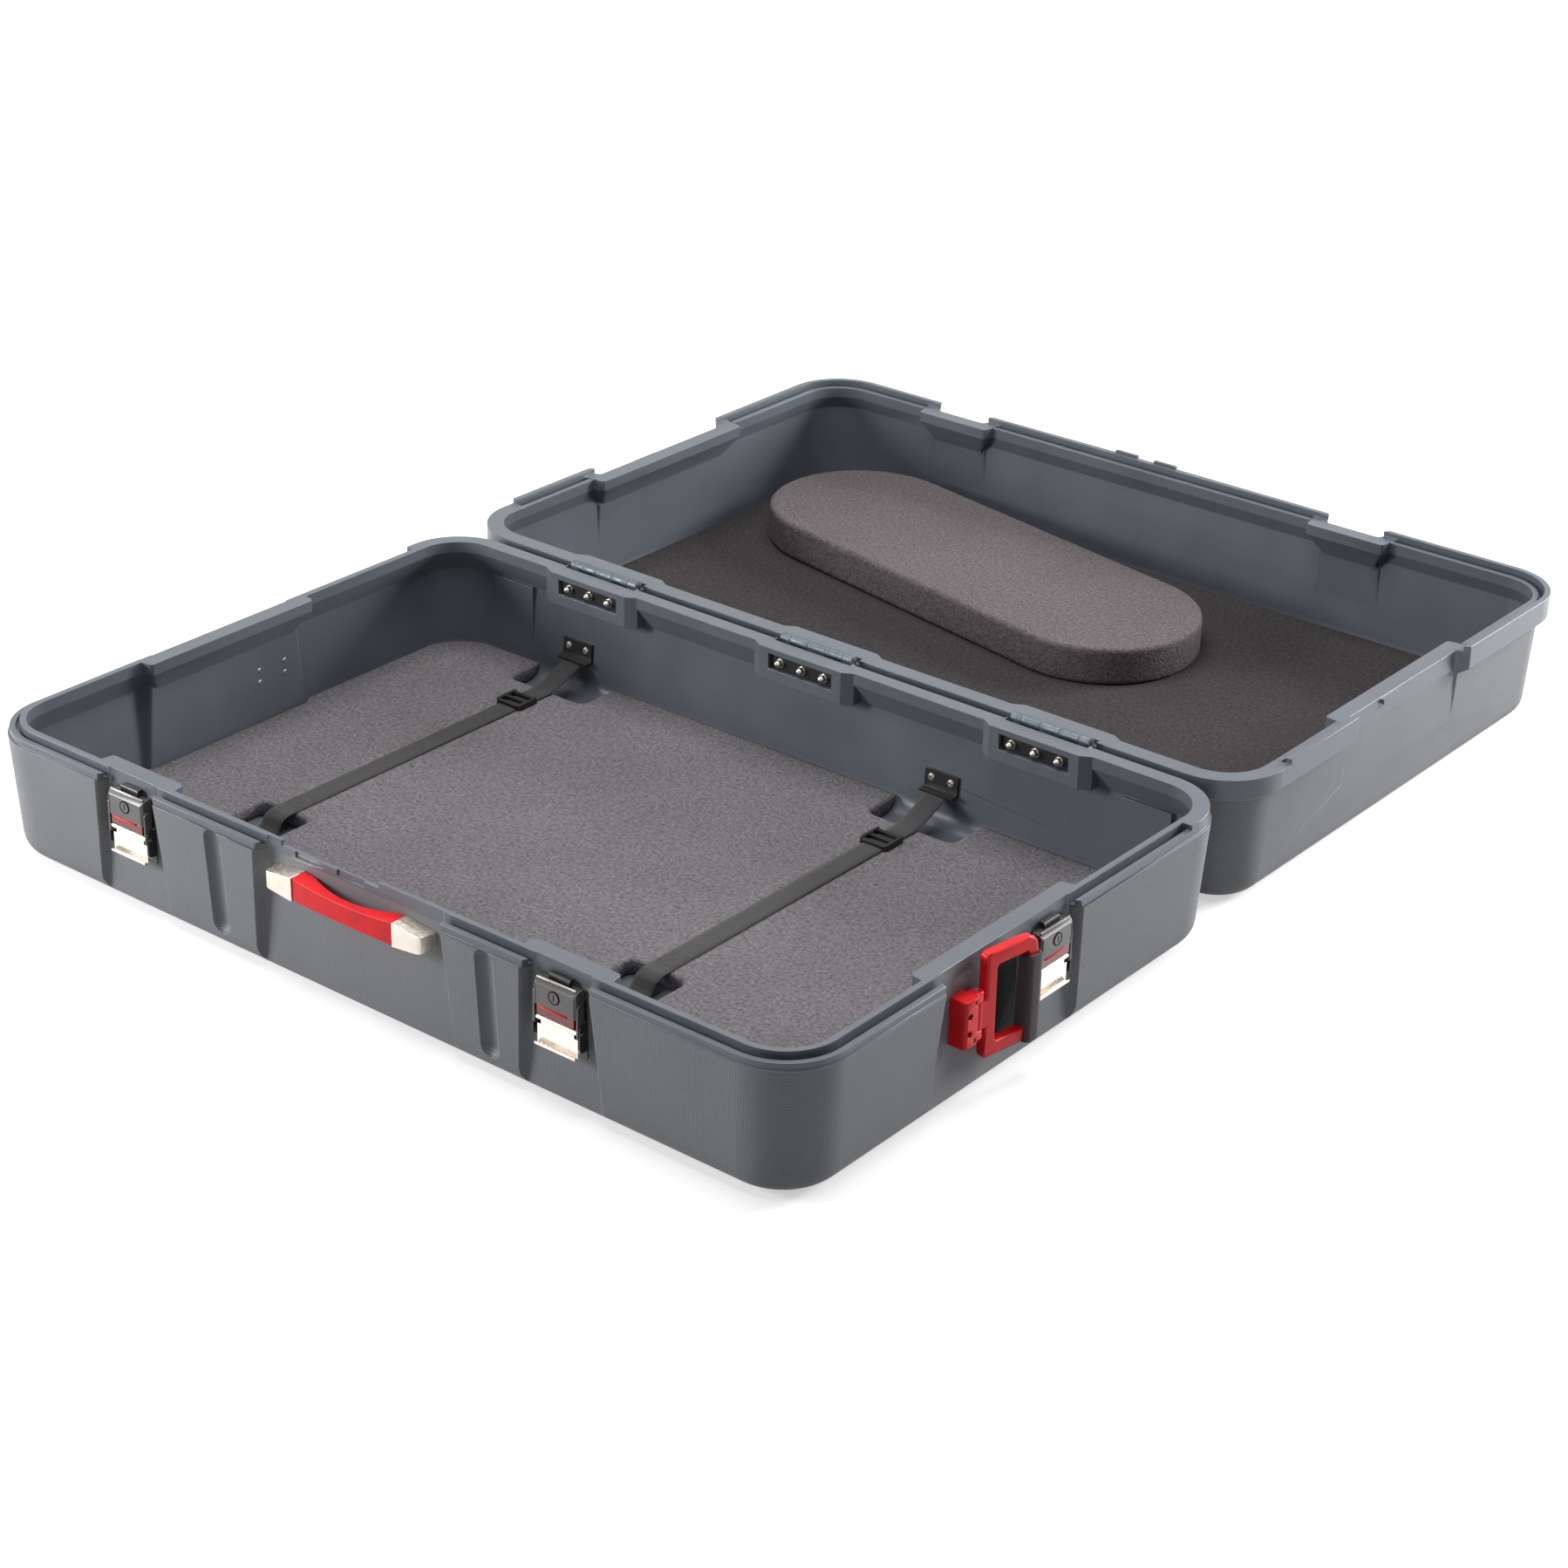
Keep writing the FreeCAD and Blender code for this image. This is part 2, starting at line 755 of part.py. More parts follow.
def make_hinge_bolts():
    """Bolts with domed nuts through the base leaves, one solid each."""
    bolts = []
    z = (window_bottom + window_top) / 2
    for place in hinge_places:
        for step in (-hinge_bolt_pitch, 0, hinge_bolt_pitch):
            x = place + step
            face = half_width + leaf_thickness
            nut = half_width - window_wall - backing_thickness
            head = rod(hinge_bolt_head_radius, vec(x, face, z), vec(x, face + hinge_bolt_head_height, z))
            shank = rod(hinge_bolt_radius, vec(x, nut - dome_nut_length, z), vec(x, face, z))
            body = rod(dome_nut_radius, vec(x, nut - dome_nut_length, z), vec(x, nut, z))
            dome = Part.makeSphere(dome_nut_radius, vec(x, nut - dome_nut_length, z))
            bolts.append(fused([head, shank, body, dome]))
    return Part.makeCompound(bolts)


def make_backing_plates():
    plates = []
    y1 = half_width - window_wall
    y0 = y1 - backing_thickness
    z = (window_bottom + window_top) / 2
    for x in hinge_places:
        plate = block(x - backing_half, x + backing_half, y0, y1, window_bottom + backing_margin,
                      window_top - backing_margin)
        for step in (-hinge_bolt_pitch, 0, hinge_bolt_pitch):
            start = vec(x + step, y0 - overrun, z)
            plate = plate.cut(rod(hinge_bolt_radius, start, vec(x + step, y1 + overrun, z)))
        plates.append(plate)
    return Part.makeCompound(plates)


def out(distance):
    """Local Y of something standing this far out from a recess floor."""
    return recess_depth - distance


def make_latch_plate():
    """Back plate with two bent-up cheeks that carry the lever pin."""
    w = latch_half_width
    y = recess_depth
    corners = [vec(-w, y, latch_plate_bottom), vec(w, y, latch_plate_bottom),
               vec(w, y, latch_plate_top), vec(-w, y, latch_plate_top)]
    plate = prism(corners, [latch_plate_round] * len(corners), vec(0, -latch_plate_thickness, 0))
    cheeks = []
    for x0 in (-w, w - cheek_thickness):
        y0 = out(cheek_depth)
        y1 = recess_depth
        points = [vec(x0, y1, cheek_bottom), vec(x0, y0, cheek_bottom), vec(x0, y0, cheek_top),
                  vec(x0, y1, cheek_top)]
        cheeks.append(prism(points, [0, cheek_round, cheek_round, 0], vec(cheek_thickness, 0, 0)))
    plate = fused([plate] + cheeks)
    pin = lever_pin_hole(lever_pin_radius)
    holes = [rod(rivet_radius, vec(x, 0, z), vec(x, y + overrun, z)) for x, z in rivet_places()]
    return plate.cut([pin] + holes)


def rivet_places():
    return [(x, z) for x in (-rivet_spread, rivet_spread) for z in (rivet_low, rivet_high)]


def lever_pin_hole(radius):
    reach = latch_half_width + overrun
    y = out(lever_pivot_out)
    return rod(radius, vec(-reach, y, lever_pivot_height), vec(reach, y, lever_pivot_height))


def make_latch_housing():
    """Cover with side arms, a slot for the claw and a bore for the lock."""
    w = housing_half_width
    back = out(latch_plate_thickness)
    front = out(latch_plate_thickness + housing_depth)
    side = [vec(-w, back, housing_bottom), vec(-w, front, housing_bottom),
            vec(-w, front, housing_top - housing_top_slope), vec(-w, front + housing_top_slope, housing_top),
            vec(-w, back, housing_top)]
    cover = prism(side, [0, housing_round / 2, housing_round / 2, housing_round / 2, 0], vec(w + w, 0, 0))
    plan = [vec(-w, back, 0), vec(-w, front, 0), vec(w, front, 0), vec(w, back, 0)]
    cover = cover.common(prism(plan, [0, housing_round, housing_round, 0], vec(0, 0, hinge_height)))
    arms = []
    for x0 in (-w - arm_width, w):
        points = [vec(x0, out(arm_back), arm_bottom), vec(x0, out(arm_front), arm_bottom),
                  vec(x0, out(arm_front), lock_height), vec(x0, out(arm_back), lock_height)]
        arms.append(prism(points, [housing_round] * len(points), vec(arm_width, 0, 0)))
    body = fused([cover] + arms)
    y0 = out(claw_out + claw_thickness + claw_clearance)
    y1 = out(claw_out - claw_clearance)
    x = claw_half_width + claw_clearance
    slot = block(-x, x, y0, y1, housing_bottom - overrun, housing_top + overrun)
    mouth = block(-x, x, y0, back + overrun, claw_top - claw_tip_thickness - claw_tip_thickness, hinge_height)
    bore = rod(lock_radius + running_clearance, vec(0, front - overrun, lock_height),
               vec(0, front + lock_length - lock_proud, lock_height))
    return body.cut([slot, mouth, bore, lever_pin_hole(lever_pin_radius)])


def make_lock():
    front = out(latch_plate_thickness + housing_depth) - lock_proud
    body = rod(lock_radius, vec(0, front, lock_height), vec(0, front + lock_length, lock_height))
    x = key_slot_width / 2
    z = key_slot_length / 2
    slot = block(-x, x, front - overrun, front + key_slot_depth, lock_height - z, lock_height + z)
    return body.cut(slot)


def make_insert():
    front = out(latch_plate_thickness + housing_depth) + insert_setback
    x = insert_half_width
    z0 = housing_bottom - insert_height
    points = [vec(-x, front, z0), vec(x, front, z0),
              vec(x, front, housing_bottom), vec(-x, front, housing_bottom)]
    return prism(points, [insert_round, insert_round, 0, 0], vec(0, insert_depth, 0))


def make_lever():
    """Folding lever: eye round the pin, flat flap with notched top corners, curled lip."""
    y = out(lever_pivot_out)
    t = lever_thickness / 2
    w = lever_half_width
    z = lever_pivot_height
    eye = rod(lever_eye_radius, vec(-w, y, z), vec(w, y, z))
    flap = block(-w, w, y - t, y + t, lever_bottom, z)
    lip_points = [vec(-w, y + t, lever_bottom), vec(-w, y - t - lever_lip_out, lever_bottom),
                  vec(-w, y - t - lever_lip_out, lever_bottom + lever_lip_rise),
                  vec(-w, y - t, lever_bottom + lever_thickness),
                  vec(-w, y + t, lever_bottom + lever_thickness)]
    lip = prism(lip_points, [t, lever_thickness, 0, 0, 0], vec(w + w, 0, 0))
    notches = []
    for side in (-1, 1):
        x0 = side * w - lever_notch
        x1 = side * w + lever_notch
        top = z - lever_eye_radius
        notches.append(block(x0, x1, y - overrun, y + lever_thickness, top - lever_notch, top))
    body = fused([eye, flap, lip]).cut(notches)
    return body.cut(lever_pin_hole(lever_pin_radius + running_clearance))


def make_lever_pin():
    reach = latch_half_width + lever_pin_overhang
    y = out(lever_pivot_out)
    return rod(lever_pin_radius, vec(-reach, y, lever_pivot_height), vec(reach, y, lever_pivot_height))


def make_claw():
    """Hook sliding in the housing, tip turned towards the case."""
    w = claw_half_width
    front = out(claw_out + claw_thickness)
    back = out(claw_out)
    tip = back + claw_tip_length
    points = [vec(-w, back, claw_bottom), vec(-w, front, claw_bottom), vec(-w, front, claw_top),
              vec(-w, tip, claw_top), vec(-w, tip, claw_top - claw_tip_thickness),
              vec(-w, back, claw_top - claw_tip_thickness)]
    return prism(points, [0, 0, claw_round, 0, 0, 0], vec(w + w, 0, 0))


def latch_rivets():
    """Rivets through plate and wall with heads on both sides."""
    rivets = []
    y_plate = out(latch_plate_thickness)
    y_wall = recess_depth + wall_thickness
    for x, z in rivet_places():
        head = rod(rivet_head_radius, vec(x, y_plate - rivet_head_height, z), vec(x, y_plate, z))
        shank = rod(rivet_radius, vec(x, y_plate, z), vec(x, y_wall, z))
        tail = rod(rivet_head_radius, vec(x, y_wall, z), vec(x, y_wall + rivet_head_height, z))
        rivets.append(fused([head, shank, tail]))
    return rivets


def latch_places():
    """Name and placing of the four latches on the base half."""
    return [
        ("front_left", lambda shape: on_front(shape, front_latch_left)),
        ("front_right", lambda shape: on_front(shape, front_latch_right)),
        ("right_end", lambda shape: on_right(shape, end_latch_place)),
        ("left_end", lambda shape: on_left(shape, end_latch_place)),
    ]


def fastener_holes():
    """Holes through the base shell for rivets, screws and strap bolts."""
    holes = []
    for name, place in latch_places():
        for x, z in rivet_places():
            holes.append(place(rod(rivet_radius, vec(x, 0, z), vec(x, recess_depth + overrun, z))))
    for y, z in pull_screw_places():
        holes.append(on_right(rod(pull_screw_radius, vec(y, 0, z), vec(y, recess_depth + overrun, z)), 0))
    for x in handle_screw_places():
        z = (handle_bottom + handle_top) / 2
        hole = rod(cap_screw_radius, vec(x, 0, z), vec(x, handle_recess_depth + overrun, z))
        holes.append(on_front(hole, handle_middle))
    for place in strap_places:
        for x in (place - wall_bolt_spread, place + wall_bolt_spread):
            y0 = half_width - overrun
            z = wall_bolt_height
            holes.append(rod(anchor_bolt_radius, vec(x, y0, z), vec(x, half_width + overrun, z)))
        for x in (place - floor_anchor_bolt_spread, place + floor_anchor_bolt_spread):
            holes.append(rod(anchor_bolt_radius, vec(x, strap_front, -overrun), vec(x, strap_front, overrun)))
    return holes


def handle_screw_places():
    middle = handle_half_length - handle_cap_length / 2
    return [-middle, middle]


def make_handle_cap(side):
    """Cast end cap of the carry handle with a pocket for the grip's tongue."""
    y0 = handle_recess_depth
    y1 = handle_recess_depth - handle_cap_depth
    inner = handle_half_length - handle_cap_length
    tip = handle_half_length
    taper = handle_cap_taper
    plan = [vec(inner, y0, 0), vec(tip, y0, 0), vec(tip - taper, y1, 0), vec(inner, y1, 0)]
    cap = prism(plan, [0, 0, handle_cap_taper, 0], vec(0, 0, hinge_height))
    face = [vec(inner, y1 - overrun, handle_bottom), vec(tip, y1 - overrun, handle_bottom + taper),
            vec(tip, y1 - overrun, handle_top - taper), vec(inner, y1 - overrun, handle_top)]
    round_end = handle_cap_round
    cap = cap.common(prism(face, [0, round_end, round_end, 0], vec(0, case_width, 0)))
    gap = grip_slot_clearance
    slot_back = y0 - grip_tongue_out + gap
    slot_front = y0 - grip_tongue_out - grip_tongue_thickness - grip_travel - gap
    slot_end = inner + grip_tongue_length + gap
    low = handle_bottom + grip_tongue_margin - gap
    high = handle_top - grip_tongue_margin + gap
    pocket = block(inner - overrun, slot_end, slot_front, slot_back, low, high)
    cap = cap.cut(pocket)
    if side < 0:
        cap = cap.mirror(vec(0, 0, 0), vec(1, 0, 0))
    return cap


def make_handle_grip():
    """Moulded grip, waisted behind the fingers and dipped along its top."""
    half = handle_half_length - handle_cap_length - grip_side_gap
    y_floor = handle_recess_depth
    front = y_floor - grip_front_out
    back = y_floor - grip_back_out
    waist = y_floor - grip_waist_out
    shoulder = half - grip_shoulder
    back_arc = Part.Arc(vec(-shoulder, back, 0), vec(0, waist, 0), vec(shoulder, back, 0))
    front_arc = Part.Arc(vec(half, front, 0), vec(0, front - grip_bow, 0), vec(-half, front, 0))
    edges = [
        Part.makeLine(vec(-half, back, 0), vec(-shoulder, back, 0)),
        back_arc.toShape(),
        Part.makeLine(vec(shoulder, back, 0), vec(half, back, 0)),
        Part.makeLine(vec(half, back, 0), vec(half, front, 0)),
        front_arc.toShape(),
        Part.makeLine(vec(-half, front, 0), vec(-half, back, 0)),
    ]
    plan = Part.Face(Part.Wire(edges)).extrude(vec(0, 0, hinge_height))
    low = handle_bottom + grip_side_gap
    high = handle_top - grip_side_gap
    y_far = -overrun
    top_arc = Part.Arc(vec(half - grip_edge_round, y_far, high), vec(0, y_far, high - grip_dip),
                       vec(-half + grip_edge_round, y_far, high))
    sides = [
        Part.makeLine(vec(-half, y_far, low), vec(half, y_far, low)),
        Part.makeLine(vec(half, y_far, low), vec(half, y_far, high)),
        Part.makeLine(vec(half, y_far, high), vec(half - grip_edge_round, y_far, high)),
        top_arc.toShape(),
        Part.makeLine(vec(-half + grip_edge_round, y_far, high), vec(-half, y_far, high)),
        Part.makeLine(vec(-half, y_far, high), vec(-half, y_far, low)),
    ]
    face = Part.Face(Part.Wire(sides)).extrude(vec(0, case_width, 0))
    grip = plan.common(face)
    y1 = y_floor - grip_tongue_out
    y0 = y1 - grip_tongue_thickness
    reach = half + grip_tongue_length
    z0 = handle_bottom + grip_tongue_margin
    z1 = handle_top - grip_tongue_margin
    tongue_left = block(-reach, -half + grip_edge_round, y0, y1, z0, z1)
    tongue_right = block(half - grip_edge_round, reach, y0, y1, z0, z1)
    return fused([grip, tongue_left, tongue_right])


def make_handle_screws():
    """Screws from inside the case into the handle caps."""
    screws = []
    z = (handle_bottom + handle_top) / 2
    y_wall = handle_recess_depth + wall_thickness
    for x in handle_screw_places():
        head = rod(cap_screw_head_radius, vec(x, y_wall, z), vec(x, y_wall + cap_screw_head_height, z))
        shank = rod(cap_screw_radius, vec(x, handle_recess_depth, z), vec(x, y_wall, z))
        screws.append(on_front(fused([head, shank]), handle_middle))
    return Part.makeCompound(screws)


def pull_screw_places():
    near = pull_block_front + pull_screw_near
    far = pull_block_front + pull_screw_far
    low = pull_block_bottom + pull_screw_edge
    high = pull_block_top - pull_screw_edge
    mid_low = pull_knuckle_bottom + pull_screw_edge
    mid_high = pull_knuckle_top - pull_screw_edge
    return [(far, low), (near, mid_low), (near, mid_high), (far, high)]


def make_pull_block():
    """Screwed-on hinge block of the pull handle, two ears round a middle gap."""
    y = recess_depth
    front = out(pull_block_depth)
    axis = pull_axis_place
    body_end = axis - pull_body_gap
    plan = [vec(pull_block_front, y, pull_block_bottom), vec(pull_block_front, front, pull_block_bottom),
            vec(body_end, front, pull_block_bottom), vec(body_end, y, pull_block_bottom)]
    height = pull_block_top - pull_block_bottom
    body = prism(plan, [0, pull_block_round, pull_block_round, 0], vec(0, 0, height))
    spine = vec(axis, out(pull_axis_out), pull_block_bottom)
    ear = Part.makeCylinder(pull_ear_radius, height, spine)
    web_half = pull_ear_radius
    web = block(body_end - pull_block_round, axis, out(pull_axis_out) - web_half,
                out(pull_axis_out) + web_half, pull_block_bottom, pull_block_top)
    gap = block(body_end, axis + overrun, front - overrun, y + overrun,
                pull_knuckle_bottom - pull_knuckle_gap, pull_knuckle_top + pull_knuckle_gap)
    shape = fused([body, ear, web]).cut(gap)
    holes = [pull_pin_hole(pull_pin_radius)]
    sink = front + pull_screw_sink + pull_screw_head_depth
    for x, z in pull_screw_places():
        holes.append(rod(pull_screw_radius, vec(x, front, z), vec(x, y + overrun, z)))
        holes.append(rod(pull_screw_head_radius, vec(x, front - overrun, z), vec(x, sink, z)))
    return on_right(shape.cut(holes), 0)


def pull_pin_hole(radius):
    start = vec(pull_axis_place, out(pull_axis_out), pull_block_bottom)
    return Part.makeCylinder(radius, pull_block_top - pull_block_bottom, start)


def make_pull_pin():
    return on_right(pull_pin_hole(pull_pin_radius), 0)


def make_pull_screws():
    screws = []
    top = out(pull_block_depth) + pull_screw_sink
    seat = top + pull_screw_head_depth
    tail = recess_depth + wall_thickness + pull_screw_head_depth
    for x, z in pull_screw_places():
        head = rod(pull_screw_head_radius, vec(x, top, z), vec(x, seat, z))
        shank = rod(pull_screw_radius, vec(x, seat, z), vec(x, tail, z))
        screws.append(on_right(fused([head, shank]), 0))
    return Part.makeCompound(screws)


def pull_frame():
    """D-shaped frame of the pull handle's loop, flat along the wall."""
    y = out(pull_axis_out) - pull_loop_half_thickness
    depth = pull_loop_half_thickness + pull_loop_half_thickness
    x0 = pull_axis_place + pull_loop_start
    x1 = pull_axis_place + pull_loop_reach
    z0 = pull_loop_bottom
    z1 = pull_loop_top
    near_round = pull_inner_round
    outer = prism([vec(x0, y, z0), vec(x1, y, z0), vec(x1, y, z1), vec(x0, y, z1)],
                  [near_round, pull_loop_round, pull_loop_round, near_round], vec(0, depth, 0))
    outer = outer.makeFillet(pull_edge_round, rim_edges(outer, y, y + depth))
    xi0 = x0 + pull_bar_near
    xi1 = x1 - pull_bar_far
    zi0 = z0 + pull_bar_cross
    zi1 = z1 - pull_bar_cross
    yi = y - overrun
    corners = [vec(xi0, yi, zi0), vec(xi1, yi, zi0), vec(xi1, yi, zi1), vec(xi0, yi, zi1)]
    hole = prism(corners, [near_round] * len(corners), vec(0, overrun + overrun + depth, 0))
    return outer.cut(hole)


def make_pull_loop():
    """Loop with a middle knuckle, leaning out from the wall."""
    y = out(pull_axis_out) - pull_loop_half_thickness
    depth = pull_loop_half_thickness + pull_loop_half_thickness
    x0 = pull_axis_place + pull_loop_start
    axis = vec(pull_axis_place, out(pull_axis_out), pull_knuckle_bottom)
    height = pull_knuckle_top - pull_knuckle_bottom
    knuckle = Part.makeCylinder(pull_ear_radius, height, axis)
    web = block(pull_axis_place, x0 + pull_edge_round + pull_edge_round, y, y + depth,
                pull_knuckle_bottom, pull_knuckle_top)
    loop = fused([pull_frame(), knuckle, web])
    return on_right(leaned(loop.cut(pull_pin_hole(pull_pin_radius + running_clearance))), 0)


def leaned(shape):
    """Loop parts rest leaning out from the wall, turned about the loop's pin."""
    copy = shape.copy()
    copy.rotate(vec(pull_axis_place, out(pull_axis_out), 0), vec(0, 0, 1), -pull_lean)
    return copy


def rim_edges(shape, y0, y1):
    """Edges lying wholly in the front or the back face."""
    found = []
    for edge in shape.Edges:
        box = edge.BoundBox
        flat = box.YMax - box.YMin < closing_gap / 2
        if flat and (abs(box.YMin - y0) < closing_gap / 2 or abs(box.YMin - y1) < closing_gap / 2):
            found.append(edge)
    return found


def make_pull_grip():
    """Soft sleeve round the far bar of the loop and its lower corner."""
    y_mid = out(pull_axis_out)
    t = pull_loop_half_thickness
    x1 = pull_axis_place + pull_loop_reach
    x0 = x1 - pull_bar_far
    wall = pull_grip_wall
    corner = pull_bar_cross + pull_inner_round
    z0 = pull_loop_bottom - pull_grip_drop
    z1 = pull_loop_top - corner - pull_grip_margin
    corners = [vec(x0 - wall, y_mid - t - wall, z0), vec(x1 + wall, y_mid - t - wall, z0),
               vec(x1 + wall, y_mid + t + wall, z0), vec(x0 - wall, y_mid + t + wall, z0)]
    sleeve = prism(corners, [pull_grip_round] * len(corners), vec(0, 0, z1 - z0))
    return on_right(leaned(sleeve.cut(pull_frame())), 0)


def make_base_foam():
    """Foam sheet on the base floor with openings for the straps."""
    sheet = base_cavity(foam_gap)
    sheet = sheet.common(block(-case_length, case_length, -case_width, case_width, 0, foam_top))
    cuts = base_recesses(wall_thickness + foam_gap)
    for x in strap_places:
        y0 = strap_front - floor_anchor_half_width - window_cut_margin
        y1 = strap_front + strap_front_rise + window_cut_margin
        corners = [vec(x - window_cut_half, y0, 0), vec(x + window_cut_half, y0, 0),
                   vec(x + window_cut_half, y1, 0), vec(x - window_cut_half, y1, 0)]
        cuts.append(prism(corners, [window_cut_round] * len(corners), vec(0, 0, hinge_height)))
        y0 = half_width - edge_cut_depth
        y1 = half_width + overrun
        corners = [vec(x - edge_cut_half, y0, 0), vec(x + edge_cut_half, y0, 0),
                   vec(x + edge_cut_half, y1, 0), vec(x - edge_cut_half, y1, 0)]
        cuts.append(prism(corners, [window_cut_round, window_cut_round, 0, 0], vec(0, 0, hinge_height)))
    return sheet.cut(cuts)


def make_lid_foam():
    sheet = lid_cavity(foam_gap)
    sheet = sheet.common(block(-case_length, case_length, lid_near, lid_far, 0, foam_top))
    return sheet.cut(lid_recesses(wall_thickness + foam_gap))


def make_foam_pad():
    """Loose oval pad lying on the lid foam."""
    a = pad_half_length
    r = pad_half_width
    straight = a - r
    edges = [
        Part.makeLine(vec(-straight, -r, 0), vec(straight, -r, 0)),
        Part.Arc(vec(straight, -r, 0), vec(a, 0, 0), vec(straight, r, 0)).toShape(),
        Part.makeLine(vec(straight, r, 0), vec(-straight, r, 0)),
        Part.Arc(vec(-straight, r, 0), vec(-a, 0, 0), vec(-straight, -r, 0)).toShape(),
    ]
    pad = Part.Face(Part.Wire(edges)).extrude(vec(0, 0, pad_thickness))
    pad = pad.makeFillet(pad_edge_round, edges_at(pad, 0) + edges_at(pad, pad_thickness))
    pad.translate(vec(0, 0, foam_top + pad_rest_gap))
    return turned(pad, pad_turn, pad_place_x, lid_middle + pad_place_y)


def ribbon(path, bend, x):
    """Webbing following a path of (y, z) points, wide along X."""
    t = strap_thickness / 2
    left = []
    right = []
    for i in range(len(path)):
        here = vec(0, path[i][0], path[i][1])
        before = here - vec(0, path[i - 1][0], path[i - 1][1]) if i > 0 else None
        after = vec(0, path[i + 1][0], path[i + 1][1]) - here if i + 1 < len(path) else None
        before = before if before is not None else after
        after = after if after is not None else before
        before.normalize()
        after.normalize()
        n0 = vec(0, -before.z, before.y)
        n1 = vec(0, -after.z, after.y)
        mitre = n0 + n1
        mitre.normalize()
        reach = t / mitre.dot(n0)
        left.append((here + mitre * reach, before.y * after.z - before.z * after.y))
        right.append((here - mitre * reach, before.y * after.z - before.z * after.y))
    points = []
    radii = []
    for point, bow in left:
        points.append(point)
        radii.append(0 if bow == 0 else bend - t if bow > 0 else bend + t)
    for point, bow in reversed(right):
        points.append(point)
        radii.append(0 if bow == 0 else bend + t if bow > 0 else bend - t)
    shifted = [point + vec(x - strap_half_width, 0, 0) for point in points]
    return prism(shifted, radii, vec(strap_half_width + strap_half_width, 0, 0))


def wall_anchor_face():
    """Y of the inner face of the hinge-side wall at the middle of the wall anchors."""
    z = (wall_anchor_bottom + wall_anchor_top) / 2
    return half_width - base_inset(z) - wall_thickness


def make_strap(x):
    """Strap from the floor anchor over the foam to the wall anchor."""
    t = strap_thickness / 2
    z_run = foam_top + strap_lift + t
    z_foot = floor_thickness + floor_anchor_thickness + strap_lift + t
    y_wall = wall_anchor_face() - wall_anchor_stand
    path = [
        (strap_front, z_foot),
        (strap_front + strap_half_width, z_foot),
        (strap_front + strap_front_rise, z_run),
        (strap_rear_bend, z_run),
        (y_wall, wall_anchor_bottom - strap_lift - t),
    ]
    return ribbon(path, strap_bend_radius, x)


def make_buckle(x):
    """Three-bar slide bridging the strap."""
    z0 = foam_top + strap_lift
    inner = strap_half_width + buckle_rail_gap
    w = inner + buckle_rail
    y = buckle_half_length
    corners = [vec(x - w, buckle_place - y, z0), vec(x + w, buckle_place - y, z0),
               vec(x + w, buckle_place + y, z0), vec(x - w, buckle_place + y, z0)]
    frame = prism(corners, [buckle_round] * len(corners), vec(0, 0, buckle_height))
    bar_low = z0 + strap_thickness + buckle_bar_gap
    under = block(x - inner, x + inner, buckle_place - y - overrun, buckle_place + y + overrun,
                  z0 - overrun, bar_low)
    space = (y + y - buckle_bar_depth * buckle_bars) / (buckle_bars - 1)
    slots = []
    for side in (-1, 1):
        middle = buckle_place + side * (buckle_bar_depth + space) / 2
        slots.append(block(x - inner, x + inner, middle - space / 2, middle + space / 2, z0, z0 + overrun))
    top = block(x - inner, x + inner, buckle_place - y - overrun, buckle_place + y + overrun,
                bar_low + buckle_bar_height, z0 + overrun)
    return frame.cut([under, top] + slots)


def make_floor_anchors():
    """Plates on the base floor that hold the front ends of the straps."""
    plates = []
    for x in strap_places:
        a = floor_anchor_half_length
        b = floor_anchor_half_width
        z = floor_thickness
        corners = [vec(x - a, strap_front - b, z), vec(x + a, strap_front - b, z),
                   vec(x + a, strap_front + b, z), vec(x - a, strap_front + b, z)]
        plate = prism(corners, [floor_anchor_round] * len(corners), vec(0, 0, floor_anchor_thickness))
        for step in (-floor_anchor_bolt_spread, floor_anchor_bolt_spread):
            start = vec(x + step, strap_front, 0)
            plate = plate.cut(rod(anchor_bolt_radius, start, start + vec(0, 0, overrun)))
        plates.append(plate)
    return Part.makeCompound(plates)


def make_wall_anchors():
    """Bent plates on the hinge-side wall that hold the rear ends of the straps."""
    plates = []
    for x in strap_places:
        a = wall_anchor_half_length
        t = wall_anchor_thickness
        y_low = half_width - base_inset(wall_anchor_bottom) - wall_thickness
        y_high = half_width - base_inset(wall_anchor_top) - wall_thickness
        y_bend = half_width - base_inset(wall_anchor_bottom + t) - wall_thickness
        y_out = wall_anchor_face() - wall_anchor_stand
        points = [
            vec(x - a, y_high, wall_anchor_top), vec(x - a, y_low, wall_anchor_bottom),
            vec(x - a, y_out, wall_anchor_bottom), vec(x - a, y_out, wall_anchor_bottom + t),
            vec(x - a, y_bend - t, wall_anchor_bottom + t), vec(x - a, y_high - t, wall_anchor_top),
        ]
        plate = prism(points, [0] * len(points), vec(a + a, 0, 0))
        for step in (-wall_bolt_spread, wall_bolt_spread):
            start = vec(x + step, half_width - overrun - overrun, wall_bolt_height)
            plate = plate.cut(rod(anchor_bolt_radius, start, start + vec(0, case_width, 0)))
        plates.append(plate)
    return Part.makeCompound(plates)


